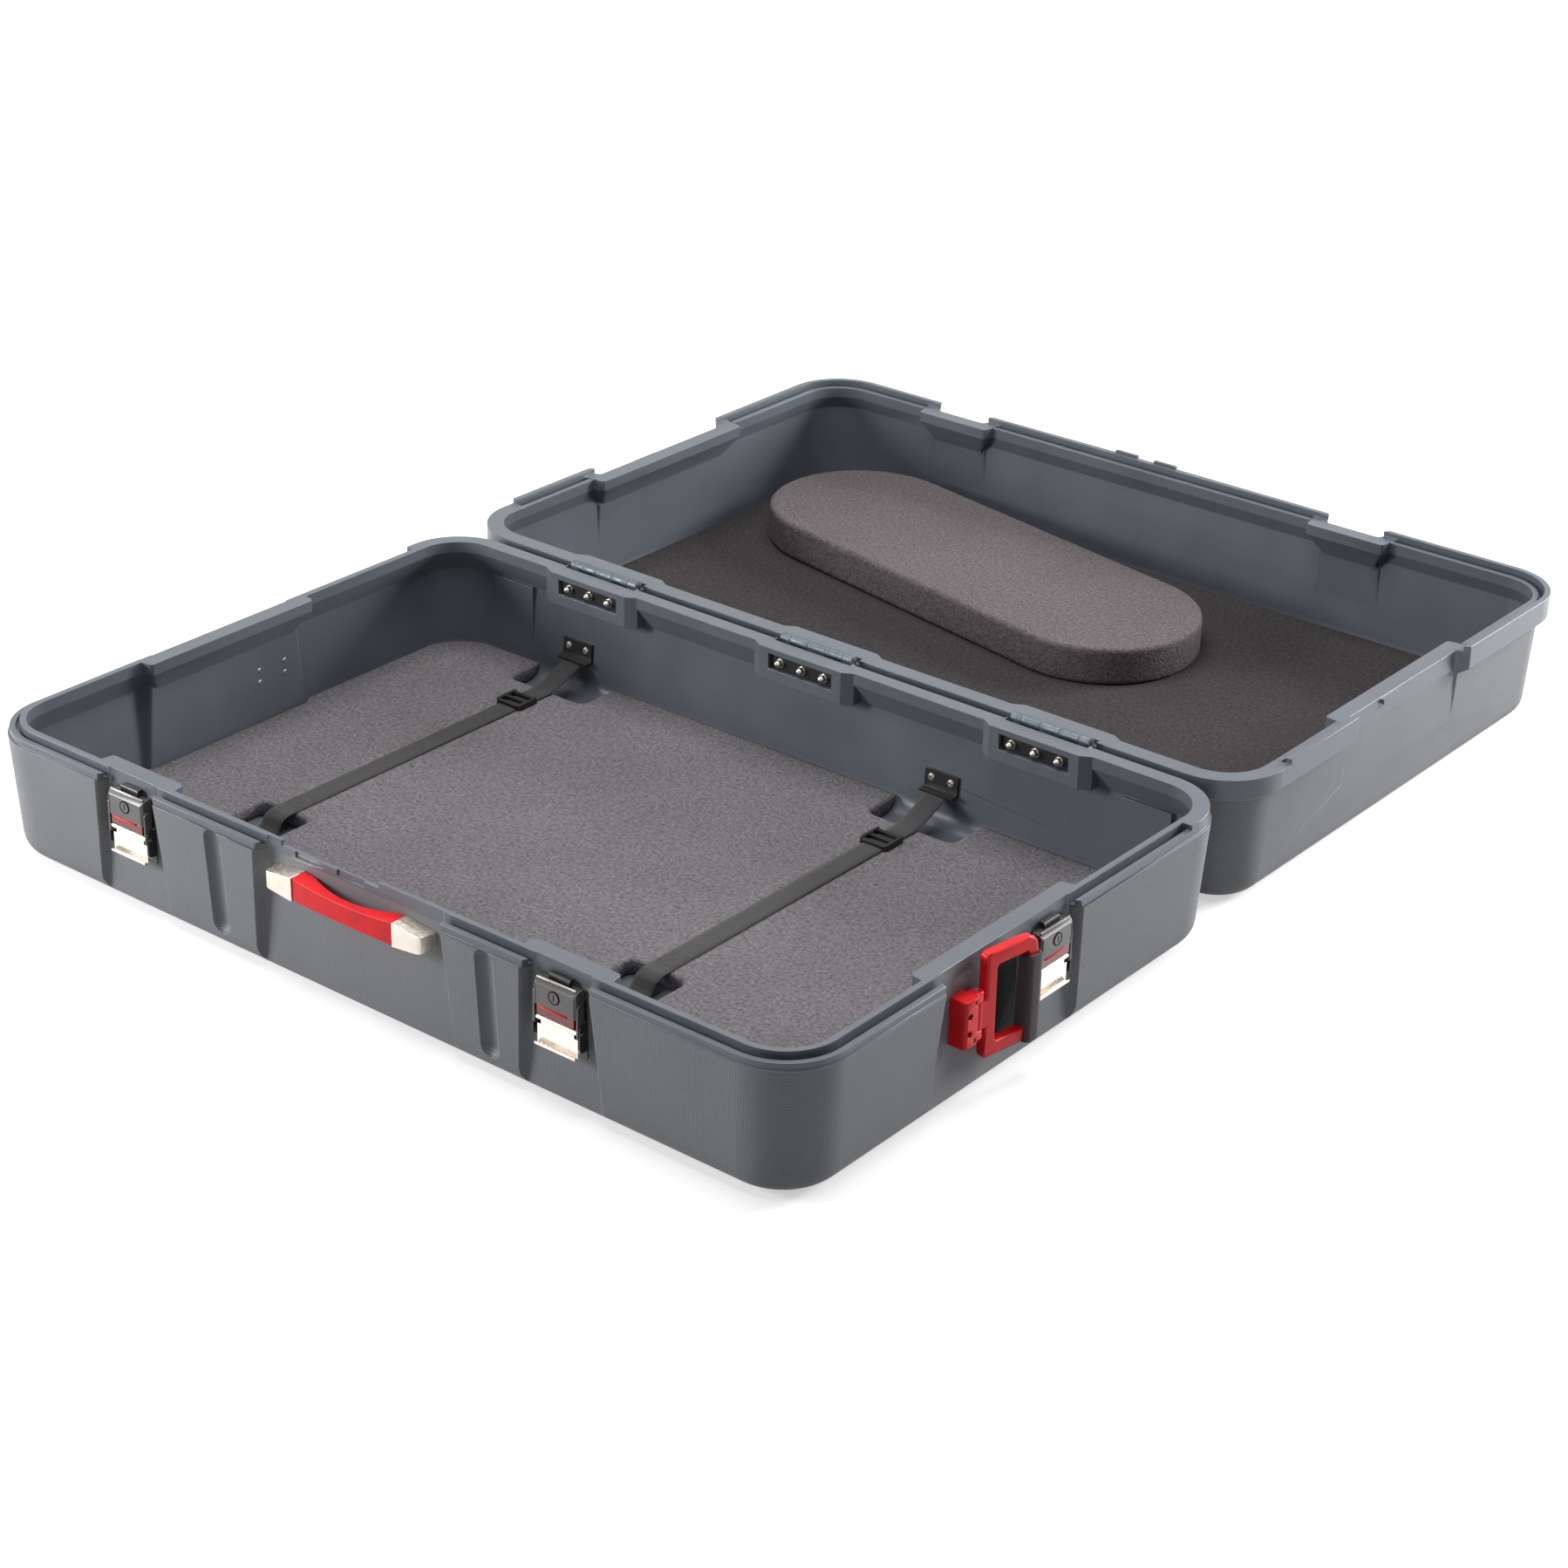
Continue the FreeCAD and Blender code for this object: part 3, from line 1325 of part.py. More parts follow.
def make_anchor_bolts():
    """Bolts of the floor and wall anchors."""
    bolts = []
    for place in strap_places:
        for x in (place - floor_anchor_bolt_spread, place + floor_anchor_bolt_spread):
            top = floor_thickness + floor_anchor_thickness
            head = rod(anchor_bolt_head_radius, vec(x, strap_front, top),
                       vec(x, strap_front, top + anchor_bolt_head_height))
            shank = rod(anchor_bolt_radius, vec(x, strap_front, closing_gap), vec(x, strap_front, top))
            bolts.append(fused([head, shank]))
        for x in (place - wall_bolt_spread, place + wall_bolt_spread):
            z = wall_bolt_height
            plate = half_width - base_inset(z) - wall_thickness - wall_anchor_thickness
            face = plate - anchor_bolt_head_radius * base_draft / base_wall_top
            head = rod(anchor_bolt_head_radius, vec(x, face - anchor_bolt_head_height, z), vec(x, face, z))
            tail = plate + wall_anchor_thickness + wall_thickness
            shank = rod(anchor_bolt_radius, vec(x, face, z), vec(x, tail, z))
            bolts.append(fused([head, shank]))
    return Part.makeCompound(bolts)


def build():
    nodes = {
        "base_shell": make_base_shell(),
        "lid_shell": make_lid_shell(),
        "base_foam": make_base_foam(),
        "lid_foam": make_lid_foam(),
        "foam_pad": make_foam_pad(),
        "base_hinge_bolts": make_hinge_bolts(),
        "lid_hinge_bolts": mirrored_over_hinge(make_hinge_bolts()),
        "base_backing_plates": make_backing_plates(),
        "lid_backing_plates": mirrored_over_hinge(make_backing_plates()),
        "handle_grip": on_front(make_handle_grip(), handle_middle),
        "handle_cap_left": on_front(make_handle_cap(-1), handle_middle),
        "handle_cap_right": on_front(make_handle_cap(1), handle_middle),
        "handle_screws": make_handle_screws(),
        "pull_block": make_pull_block(),
        "pull_loop": make_pull_loop(),
        "pull_grip": make_pull_grip(),
        "pull_pin": make_pull_pin(),
        "pull_screws": make_pull_screws(),
        "floor_anchors": make_floor_anchors(),
        "wall_anchors": make_wall_anchors(),
        "anchor_bolts": make_anchor_bolts(),
    }
    hinge_names = ["left", "middle", "right"]
    for name, x in zip(hinge_names, hinge_places):
        nodes["hinge_base_leaf_" + name] = make_hinge_leaf(x, True)
        nodes["hinge_lid_leaf_" + name] = make_hinge_leaf(x, False)
        nodes["hinge_pin_" + name] = make_hinge_pin(x)
    strap_names = ["left", "right"]
    for name, x in zip(strap_names, strap_places):
        nodes["strap_" + name] = make_strap(x)
        nodes["buckle_" + name] = make_buckle(x)
    rivets = []
    pins = []
    inserts = []
    for name, place in latch_places():
        nodes["latch_plate_" + name] = place(make_latch_plate())
        nodes["latch_housing_" + name] = place(make_latch_housing())
        nodes["latch_lever_" + name] = place(make_lever())
        nodes["latch_claw_" + name] = place(make_claw())
        nodes["latch_lock_" + name] = place(make_lock())
        rivets += [place(rivet) for rivet in latch_rivets()]
        pins.append(place(make_lever_pin()))
        inserts.append(place(make_insert()))
    nodes["latch_rivets"] = Part.makeCompound(rivets)
    nodes["latch_pins"] = Part.makeCompound(pins)
    nodes["latch_inserts"] = Part.makeCompound(inserts)
    return nodes


os.makedirs("parts", exist_ok=True)
for node, shape in build().items():
    shape.exportStep("parts/" + node + ".step")
    box = shape.BoundBox
    print(node, len(shape.Solids), shape.isValid(), "volume", round(shape.Volume), "size",
          round(box.XLength), round(box.YLength), round(box.ZLength))
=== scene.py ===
import json
import math

import bmesh
import bpy
import numpy as np
from mathutils import Matrix, Vector, noise
from mathutils.bvhtree import BVHTree
from mathutils.interpolate import poly_3d_calc

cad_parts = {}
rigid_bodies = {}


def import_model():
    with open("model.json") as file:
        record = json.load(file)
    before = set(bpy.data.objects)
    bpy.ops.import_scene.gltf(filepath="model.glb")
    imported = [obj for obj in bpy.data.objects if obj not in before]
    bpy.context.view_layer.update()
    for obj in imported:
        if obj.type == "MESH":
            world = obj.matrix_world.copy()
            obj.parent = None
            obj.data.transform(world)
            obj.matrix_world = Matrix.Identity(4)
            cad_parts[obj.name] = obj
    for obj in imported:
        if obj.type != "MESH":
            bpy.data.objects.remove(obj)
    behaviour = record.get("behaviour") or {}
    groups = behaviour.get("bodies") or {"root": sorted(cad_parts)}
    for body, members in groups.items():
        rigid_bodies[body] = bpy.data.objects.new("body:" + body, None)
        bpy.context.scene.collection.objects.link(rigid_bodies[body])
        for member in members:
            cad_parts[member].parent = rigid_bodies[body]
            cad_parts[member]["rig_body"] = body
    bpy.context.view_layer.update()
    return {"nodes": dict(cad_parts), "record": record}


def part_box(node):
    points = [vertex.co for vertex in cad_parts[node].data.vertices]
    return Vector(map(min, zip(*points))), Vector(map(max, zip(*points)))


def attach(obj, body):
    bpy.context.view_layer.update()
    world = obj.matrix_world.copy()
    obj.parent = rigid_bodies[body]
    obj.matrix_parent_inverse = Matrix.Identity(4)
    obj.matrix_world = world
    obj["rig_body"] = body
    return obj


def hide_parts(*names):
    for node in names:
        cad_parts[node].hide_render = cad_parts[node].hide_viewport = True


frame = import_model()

bl_info = {
    "name": "Bike travel case",
    "version": (1, 0, 0),
    "blender": (4, 5, 0),
    "location": "View3D > Sidebar > Travel case",
    "description": "Finishes, foam, webbing and fittings of an open bike travel case",
    "category": "Object",
}

MM = 0.001
WELD = 0.02 * MM  # corners of the CAD's loose triangles nearer than this are one
LATCHES = ("front_left", "front_right", "right_end", "left_end")
HINGES = ("left", "middle", "right")
SIDES = ("left", "right")
UP = Vector((0, 0, 1))
FORWARD = Vector((0, -1, 0))


def linear(code):
    """Linear colour with alpha from an sRGB hex code."""
    parts = [int(code[i:i + 2], 16) / 255 for i in (1, 3, 5)]
    curve = [c / 12.92 if c <= 0.04045 else ((c + 0.055) / 1.055) ** 2.4 for c in parts]
    return (*curve, 1.0)


def colour(name, code, text):
    return bpy.props.FloatVectorProperty(
        name=name, description=text, default=linear(code), size=4, min=0, max=1, subtype="COLOR")


def length(name, size, text):
    return bpy.props.FloatProperty(
        name=name, description=text, default=size * MM, min=0, unit="LENGTH",
        subtype="DISTANCE", precision=4)


class CaseFinish(bpy.types.PropertyGroup):
    """Colours of the case"""
    shell: colour("Shell outside", "#7a7c80", "Grained outer walls")
    shell_inside: colour("Shell inside", "#646a72", "Smooth inner walls and rims")
    foam: colour("Base foam", "#767275", "Foam sheet in the base")
    # Painted shade: the lid's foam is the base's foam, darkened for the shade it lies in
    foam_lid_shaded: colour("Lid foam", "#403c3e", "Foam sheet in the lid")
    foam_pad: colour("Pad foam", "#6a6366", "Loose oval pad")
    red: colour("Red plastic", "#e6161f", "Grip, pull loop and hinge block")
    black: colour("Black plastic", "#1b1b1d", "Slides, anchors, latch plates and claws")
    cover: colour("Latch cover", "#4e4b4a", "Lacquered latch covers and locks")
    # Painted shade: near-black that stands in for the shade behind the pull loop, in the gaps round
    # the locks and in the key slots
    shade_black: colour("Shade black", "#0d0c0d", "Pad behind the pull handle, lock rings and key slots")
    webbing: colour("Webbing", "#252426", "Straps")
    thread: colour("Thread", "#3a393b", "Stitches of the straps")
    # Painted shade: the latch's red insert, darkened for the shade under the cover; the bright red
    # strips stand for its lit edge as painted highlight
    shaded_red: colour("Latch red", "#7a1416", "Red insert under a latch cover")
    sleeve: colour("Sleeve", "#2b2625", "Soft sleeve of the pull handle")


class CaseSizes(bpy.types.PropertyGroup):
    """Sizes of the finish"""
    shell_edge: length("Shell edge", 0.8, "Rounding of the moulded shell's edges")
    metal_edge: length("Metal edge", 0.35, "Rounding of pressed and cast metal edges")
    plastic_edge: length("Plastic edge", 0.9, "Rounding of the plastic fittings' edges")
    grain: length("Grain pitch", 3.6, "Distance between the dots of the outer grain")
    foam_voxel: length("Foam cell", 4.6, "Size of the foam sheets' facets")
    foam_wave: length("Foam wave", 0.7, "Height of the foam's soft unevenness")


def fill(tree, node, inputs):
    """Links or sets the inputs of a node."""
    for key, value in inputs.items():
        if isinstance(value, bpy.types.NodeSocket):
            tree.links.new(value, node.inputs[key])
        else:
            node.inputs[key].default_value = value


def add(tree, kind, inputs=None, out=0, **settings):
    """Adds a node with its settings and inputs, and returns one of its outputs.

    Map Range takes its value, the range that it comes from and the range that it goes to as
    inputs 0 to 4, and Mix its share and two colours as inputs 0, 6 and 7."""
    node = tree.nodes.new(kind)
    for key, value in settings.items():
        setattr(node, key, value)
    fill(tree, node, inputs or {})
    return node.outputs[out] if node.outputs else None


def start_material(name, constants):
    """New material: its tree, its shader with the given sockets, and object coordinates."""
    material = bpy.data.materials.new(name)
    material.use_nodes = True
    tree = material.node_tree
    shader = tree.nodes["Principled BSDF"]
    fill(tree, shader, constants)
    return material, tree, shader, add(tree, "ShaderNodeTexCoord", out="Object")


def scale_for(size_mm):
    """Texture scale that sets the marks of a pattern size_mm apart."""
    return 1000 / size_mm


def grained_polypropylene(finish, sizes):
    """Injection-moulded polypropylene: even grey, with a dotted grain outside.

    The inside and the rims are smooth and satin."""
    material, tree, shader, place = start_material("grained_polypropylene", {"IOR": 1.49})
    x, y, z = add(tree, "ShaderNodeSeparateXYZ", {0: place}).node.outputs
    top = add(tree, "ShaderNodeAttribute", attribute_name="grain_top", out="Fac")
    skin = add(tree, "ShaderNodeMath", {0: z, 1: top}, operation="LESS_THAN")
    along = add(tree, "ShaderNodeMath", {0: x, 1: y}, operation="ADD")
    waves = []
    for sign in ("ADD", "SUBTRACT"):
        slant = add(tree, "ShaderNodeMath", {0: along, 1: z}, operation=sign)
        phase = add(tree, "ShaderNodeMath", {0: slant, 1: math.pi / sizes.grain},
                    operation="MULTIPLY")
        waves.append(add(tree, "ShaderNodeMath", {0: phase}, operation="SINE"))
    dots = add(tree, "ShaderNodeMath", {0: waves[0], 1: waves[1]}, operation="MULTIPLY")
    dots = add(tree, "ShaderNodeMath", {0: dots, 1: skin}, operation="MULTIPLY")
    cloud = add(tree, "ShaderNodeTexNoise",
                {"Vector": place, "Scale": scale_for(90), "Detail": 3.0}, out="Fac")
    fine = add(tree, "ShaderNodeTexNoise",
               {"Vector": place, "Scale": scale_for(2.5), "Detail": 2.0}, out="Fac")
    tint = add(tree, "ShaderNodeMix", {0: skin, 6: finish.shell_inside, 7: finish.shell},
               out=2, data_type="RGBA")
    level = add(tree, "ShaderNodeMapRange", {0: cloud, 1: 0.3, 2: 0.7, 3: 0.92, 4: 1.06})
    speck = add(tree, "ShaderNodeMapRange", {0: dots, 1: -1.0, 2: 1.0, 3: -0.2, 4: 0.2})
    level = add(tree, "ShaderNodeMath", {0: level, 1: speck}, operation="ADD")
    tone = add(tree, "ShaderNodeVectorMath", {0: tint, "Scale": level}, operation="SCALE")
    satin = add(tree, "ShaderNodeMapRange", {0: skin, 3: 0.27, 4: 0.55})
    rough = add(tree, "ShaderNodeMath", {0: cloud, 1: 0.12, 2: satin}, operation="MULTIPLY_ADD")
    rise = add(tree, "ShaderNodeMath", {0: fine, 1: 0.35, 2: dots}, operation="MULTIPLY_ADD")
    bump = add(tree, "ShaderNodeBump", {"Height": rise, "Strength": 0.3, "Distance": 0.4 * MM})
    fill(tree, shader, {"Base Color": tone, "Roughness": rough, "Normal": bump})
    return material


def open_cell_foam(name, tint):
    """Open-cell polyurethane foam: matt, peppered with cell mouths, drawn coarser to show."""
    material, tree, shader, place = start_material(
        name, {"Roughness": 0.95, "Specular IOR Level": 0.2})
    cells = add(tree, "ShaderNodeTexVoronoi", {"Vector": place, "Scale": scale_for(3.0)},
                out="Distance")
    grit = add(tree, "ShaderNodeTexNoise",
               {"Vector": place, "Scale": scale_for(4.6), "Detail": 5.0, "Roughness": 0.8},
               out="Fac")
    cloud = add(tree, "ShaderNodeTexNoise",
                {"Vector": place, "Scale": scale_for(140), "Detail": 2.0}, out="Fac")
    level = add(tree, "ShaderNodeMapRange", {0: grit, 1: 0.32, 2: 0.68, 3: 0.45, 4: 1.55})
    wide = add(tree, "ShaderNodeMapRange", {0: cloud, 1: 0.3, 2: 0.7, 3: 0.94, 4: 1.06})
    level = add(tree, "ShaderNodeMath", {0: level, 1: wide}, operation="MULTIPLY")
    tone = add(tree, "ShaderNodeVectorMath", {0: tint[:3], "Scale": level}, operation="SCALE")
    rise = add(tree, "ShaderNodeMath", {0: grit, 1: cells}, operation="ADD")
    bump = add(tree, "ShaderNodeBump", {"Height": rise, "Strength": 0.7, "Distance": 1.2 * MM})
    fill(tree, shader, {"Base Color": tone, "Normal": bump})
    return material


def metal(name, tint, dark, roughness, scratch_mm, wear=1.0):
    """Plated, cast or anodised metal: clear gloss, broken by fine marks and cloudy tarnish."""
    material, tree, shader, place = start_material(name, {"Metallic": 1.0})
    marks = add(tree, "ShaderNodeTexNoise",
                {"Vector": place, "Scale": scale_for(scratch_mm), "Detail": 3.0}, out="Fac")
    cloud = add(tree, "ShaderNodeTexNoise",
                {"Vector": place, "Scale": scale_for(18), "Detail": 3.0}, out="Fac")
    stain = add(tree, "ShaderNodeMapRange", {0: cloud, 1: 0.35, 2: 0.75, 3: 0.0, 4: 0.55 * wear})
    tone = add(tree, "ShaderNodeMix", {0: stain, 6: linear(tint), 7: linear(dark)},
               out=2, data_type="RGBA")
    rough = add(tree, "ShaderNodeMapRange",
                {0: marks, 1: 0.3, 2: 0.7, 3: roughness * (1 - 0.25 * wear),
                 4: roughness * (1 + 0.3 * wear)})
    bump = add(tree, "ShaderNodeBump",
               {"Height": marks, "Strength": 0.05 * wear, "Distance": 0.2 * MM})
    fill(tree, shader, {"Base Color": tone, "Roughness": rough, "Normal": bump})
    return material


def moulded_plastic(name, tint, roughness, texture_mm, strength, coat=0.0, gloss=0.5):
    """Moulded plastic or lacquer, and the near-black of painted shade: even colour, faint flow
    marks, fine eroded texture.
    """
    material, tree, shader, place = start_material(
        name, {"IOR": 1.5, "Specular IOR Level": gloss, "Coat Weight": coat,
               "Coat Roughness": 0.25})
    grit = add(tree, "ShaderNodeTexNoise",
               {"Vector": place, "Scale": scale_for(texture_mm), "Detail": 3.0}, out="Fac")
    cloud = add(tree, "ShaderNodeTexNoise",
                {"Vector": place, "Scale": scale_for(25), "Detail": 2.0}, out="Fac")
    level = add(tree, "ShaderNodeMapRange", {0: cloud, 1: 0.3, 2: 0.7, 3: 0.9, 4: 1.1})
    tone = add(tree, "ShaderNodeVectorMath", {0: tint[:3], "Scale": level}, operation="SCALE")
    rough = add(tree, "ShaderNodeMapRange",
                {0: grit, 1: 0.3, 2: 0.7, 3: roughness * 0.85, 4: roughness * 1.2})
    bump = add(tree, "ShaderNodeBump",
               {"Height": grit, "Strength": strength, "Distance": 0.3 * MM})
    fill(tree, shader, {"Base Color": tone, "Roughness": rough, "Normal": bump})
    return material


def woven_polyester(tint):
    """Woven polyester webbing: matt black, its raised warp ribs drawn at 3 mm so that they show."""
    material, tree, shader, place = start_material(
        "woven_polyester", {"Roughness": 0.8, "Sheen Weight": 0.25, "Sheen Roughness": 0.5})
    weave = add(tree, "ShaderNodeUVMap", uv_map="weave")
    across, down, _ = add(tree, "ShaderNodeSeparateXYZ", {0: weave}).node.outputs
    ribs = []
    for axis, pitch in ((across, 3.0), (down, 2.4)):
        phase = add(tree, "ShaderNodeMath", {0: axis, 1: 2000 * math.pi / pitch},
                    operation="MULTIPLY")
        ribs.append(add(tree, "ShaderNodeMath", {0: phase}, operation="SINE"))
    knots = add(tree, "ShaderNodeMath", {0: ribs[0], 1: ribs[1]}, operation="MULTIPLY")
    rise = add(tree, "ShaderNodeMath", {0: ribs[0], 1: 0.6, 2: knots}, operation="MULTIPLY_ADD")
    fluff = add(tree, "ShaderNodeTexNoise",
                {"Vector": place, "Scale": scale_for(4.0), "Detail": 3.0}, out="Fac")
    level = add(tree, "ShaderNodeMapRange", {0: rise, 1: -1.6, 2: 1.6, 3: 0.55, 4: 1.5})
    level = add(tree, "ShaderNodeMath", {0: fluff, 1: 0.5, 2: level}, operation="MULTIPLY_ADD")
    tone = add(tree, "ShaderNodeVectorMath", {0: tint[:3], "Scale": level}, operation="SCALE")
    bump = add(tree, "ShaderNodeBump", {"Height": rise, "Strength": 0.6, "Distance": 0.5 * MM})
    fill(tree, shader, {"Base Color": tone, "Normal": bump})
    return material


def neoprene(tint):
    """Knit-faced neoprene: matt, soft sheen, fine knit loops."""
    material, tree, shader, place = start_material(
        "neoprene_knit", {"Roughness": 0.85, "Sheen Weight": 0.35, "Sheen Roughness": 0.45})
    knit = add(tree, "ShaderNodeTexVoronoi", {"Vector": place, "Scale": scale_for(1.8)},
               out="Distance")
    cloud = add(tree, "ShaderNodeTexNoise",
                {"Vector": place, "Scale": scale_for(12), "Detail": 3.0}, out="Fac")
    level = add(tree, "ShaderNodeMath", {0: knit, 1: 0.5, 2: cloud}, operation="MULTIPLY_ADD")
    level = add(tree, "ShaderNodeMapRange", {0: level, 1: 0.3, 2: 1.0, 3: 0.7, 4: 1.35})
    tone = add(tree, "ShaderNodeVectorMath", {0: tint[:3], "Scale": level}, operation="SCALE")
    bump = add(tree, "ShaderNodeBump", {"Height": knit, "Strength": 0.5, "Distance": 0.6 * MM})
    fill(tree, shader, {"Base Color": tone, "Normal": bump})
    return material


MATERIALS = {}


def make_materials(scene):
    finish = scene.case_finish
    MATERIALS.update({
        "shell_plastic": grained_polypropylene(finish, scene.case_sizes),
        "base_foam": open_cell_foam("polyurethane_foam_base", finish.foam),
        # Painted shade: lid foam darkened
        "lid_foam": open_cell_foam("polyurethane_foam_lid", finish.foam_lid_shaded),
        "foam_pad": open_cell_foam("polyurethane_foam_pad", finish.foam_pad),
        "bright_steel": metal("polished_nickel_plate", "#efe8de", "#d9cbb9", 0.22, 9.0, wear=0.5),
        # Painted reflection: nickel darkened to stand in for the dark surroundings that the latch
        # bars reflect
        "dark_reflection_steel": metal("smoked_nickel_plate", "#8f8a85", "#66615d", 0.3, 4.0),
        "zinc_steel": metal("zinc_plated_steel", "#c4c1bb", "#9a958d", 0.28, 4.0),
        "satin_nickel": metal("satin_nickel_casting", "#d6cfc4", "#beb5a9", 0.4, 4.0),
        "hinge_alloy": metal("anodised_aluminium", "#676f75", "#585f65", 0.55, 8.0),
        "black_coated": moulded_plastic("black_coated_steel", finish.black, 0.35, 1.2, 0.1, 0.3),
        "red_plastic": moulded_plastic("red_polyamide", finish.red, 0.38, 1.4, 0.12, gloss=0.3),
        "black_plastic": moulded_plastic("black_acetal", finish.black, 0.42, 1.4, 0.12),
        "cover": moulded_plastic("lacquered_zinc_cover", finish.cover, 0.33, 1.6, 0.1, 0.4),
        # Painted shade: near-black for the pad behind the pull loop, the lock gaps and the key
        # slots
        "shade_black": moulded_plastic("black_rubber", finish.shade_black, 0.75, 1.6, 0.2, gloss=0.12),
        # Painted shade: the red insert's red, darkened
        "shaded_red": moulded_plastic("red_acetal", finish.shaded_red, 0.25, 1.4, 0.05, 0.5),
        "webbing": woven_polyester(finish.webbing),
        "thread": moulded_plastic("bonded_nylon_thread", finish.thread, 0.6, 0.8, 0.3),
        "grip_foam": neoprene(finish.sleeve),
    })


def body_of(node):
    return frame["nodes"][node]["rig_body"]


SLOTS = {part["node"]: part["material_slot"] for part in frame["record"]["subparts"]}


def new_object(name, data):
    obj = bpy.data.objects.new(name, data)
    bpy.context.scene.collection.objects.link(obj)
    return obj


def mesh_from(bm, name):
    """Mesh with the faces of bm, which is used up."""
    mesh = bpy.data.meshes.new(name)
    bm.to_mesh(mesh)
    bm.free()
    return mesh


def copy_of(node, name, weld=WELD):
    """Copy of a CAD node as one mesh, its corners nearer than weld joined."""
    source = frame["nodes"][node].data
    mesh = bpy.data.meshes.new(name)
    mesh.from_pydata([v.co for v in source.vertices], [],
                     [list(p.vertices) for p in source.polygons])
    bm = bmesh.new()
    bm.from_mesh(mesh)
    for reach in (WELD, weld):
        bmesh.ops.remove_doubles(bm, verts=bm.verts, dist=reach)
    bmesh.ops.dissolve_degenerate(bm, edges=bm.edges, dist=WELD)
    bm.to_mesh(mesh)
    bm.free()
    return new_object(name, mesh)


def bake(obj):
    """Turns an object with modifiers into its plain mesh."""
    depsgraph = bpy.context.evaluated_depsgraph_get()
    mesh = bpy.data.meshes.new_from_object(obj.evaluated_get(depsgraph))
    old = obj.data
    obj.modifiers.clear()
    obj.data = mesh
    mesh.name = obj.name
    bpy.data.meshes.remove(old)
    return obj


SHARP_ANGLE = math.radians(32)  # edges sharper than this are rounded
STRIP_SLOT = 1  # material slot that marks the rounded strips
STRIP_REACH = 0.8  # a rounding may leave the CAD surface by this share of its width
NORMAL_REACH = 1.6 * MM  # CAD surfaces nearer than this can lend a corner their normal
NORMAL_MATCH = 0.5  # least agreement of such a normal with the face
NORMAL_FADE = 8 * MM  # distance that outweighs full agreement


def cad_normal(tree, source, corners, point, facing):
    """Normal of the CAD surface at a point, taken from the surface that faces the given way."""
    best = NORMAL_MATCH
    found = facing
    for place, normal, index, gap in tree.find_nearest_range(point, NORMAL_REACH):
        score = normal.dot(facing) - gap / NORMAL_FADE
        if score > best:
            best = score
            face = source.polygons[index]
            shares = poly_3d_calc([source.vertices[v].co for v in face.vertices], place)
            found = Vector((0, 0, 0))
            for share, k in zip(shares, face.loop_indices):
                found += share * corners[k]
    return found.normalized()


def carry_normals(mesh, source, reach):
    """Takes over the shading of the CAD surfaces; the rounded strips lean between neighbours.

    Corners that the rounding left further than reach from the CAD surface are first drawn back."""
    tree = BVHTree.FromPolygons([v.co for v in source.vertices],
                                [list(p.vertices) for p in source.polygons])
    for vert in mesh.vertices:
        place, _, _, gap = tree.find_nearest(vert.co)
        if gap > reach:
            vert.co = place
    mesh.update()
    corners = [Vector(n.vector) for n in source.corner_normals]
    normals = [None] * len(mesh.loops)
    leans = [Vector((0, 0, 0)) for _ in mesh.vertices]
    kept = [False] * len(mesh.vertices)
    strips = []
    for face in mesh.polygons:
        if face.material_index == STRIP_SLOT:
            strips.append(face)
            continue
        for k, v in zip(face.loop_indices, face.vertices):
            normals[k] = cad_normal(tree, source, corners, mesh.vertices[v].co, face.normal)
            leans[v] += normals[k]
            kept[v] = True
    for face in strips:
        for v in face.vertices:
            if not kept[v]:
                leans[v] += face.normal
    for face in strips:
        for k, v in zip(face.loop_indices, face.vertices):
            normals[k] = leans[v].normalized()
    mesh.normals_split_custom_set(normals)


def round_edges(obj, width, source, segments):
    """Rounds the sharp edges and keeps the even shading of the CAD surfaces."""
    obj.data.shade_smooth()
    obj.data.materials.append(None)
    obj.data.materials.append(None)
    bevel = obj.modifiers.new("Rounded edges", "BEVEL")
    bevel.width = width
    bevel.segments = segments
    bevel.limit_method = "ANGLE"
    bevel.angle_limit = SHARP_ANGLE
    bevel.use_clamp_overlap = False
    bevel.material = STRIP_SLOT
    bake(obj)
    carry_normals(obj.data, source, width * STRIP_REACH)
    for face in obj.data.polygons:
        face.material_index = 0


def settle(obj, body, slot, material, *nodes):
    """Gives a finished piece its material and body, and hides the nodes it stands for."""
    obj.data.materials.clear()
    obj.data.materials.append(MATERIALS[material])
    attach(obj, body)
    if nodes:
        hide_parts(*nodes)


def softened(node, material, width, weld=1.25, segments=2):
    """Piece with rounded edges that stands for a CAD node.

    Edges shorter than weld roundings are joined first."""
    obj = copy_of(node, node + "_piece", width * weld)
    round_edges(obj, width, frame["nodes"][node].data, segments)
    settle(obj, body_of(node), SLOTS[node], material, node)
    return obj


def dress(node, material):
    """Carries a CAD node over with a new material."""
    data = frame["nodes"][node].data
    data.materials.clear()
    data.materials.append(MATERIALS[material])


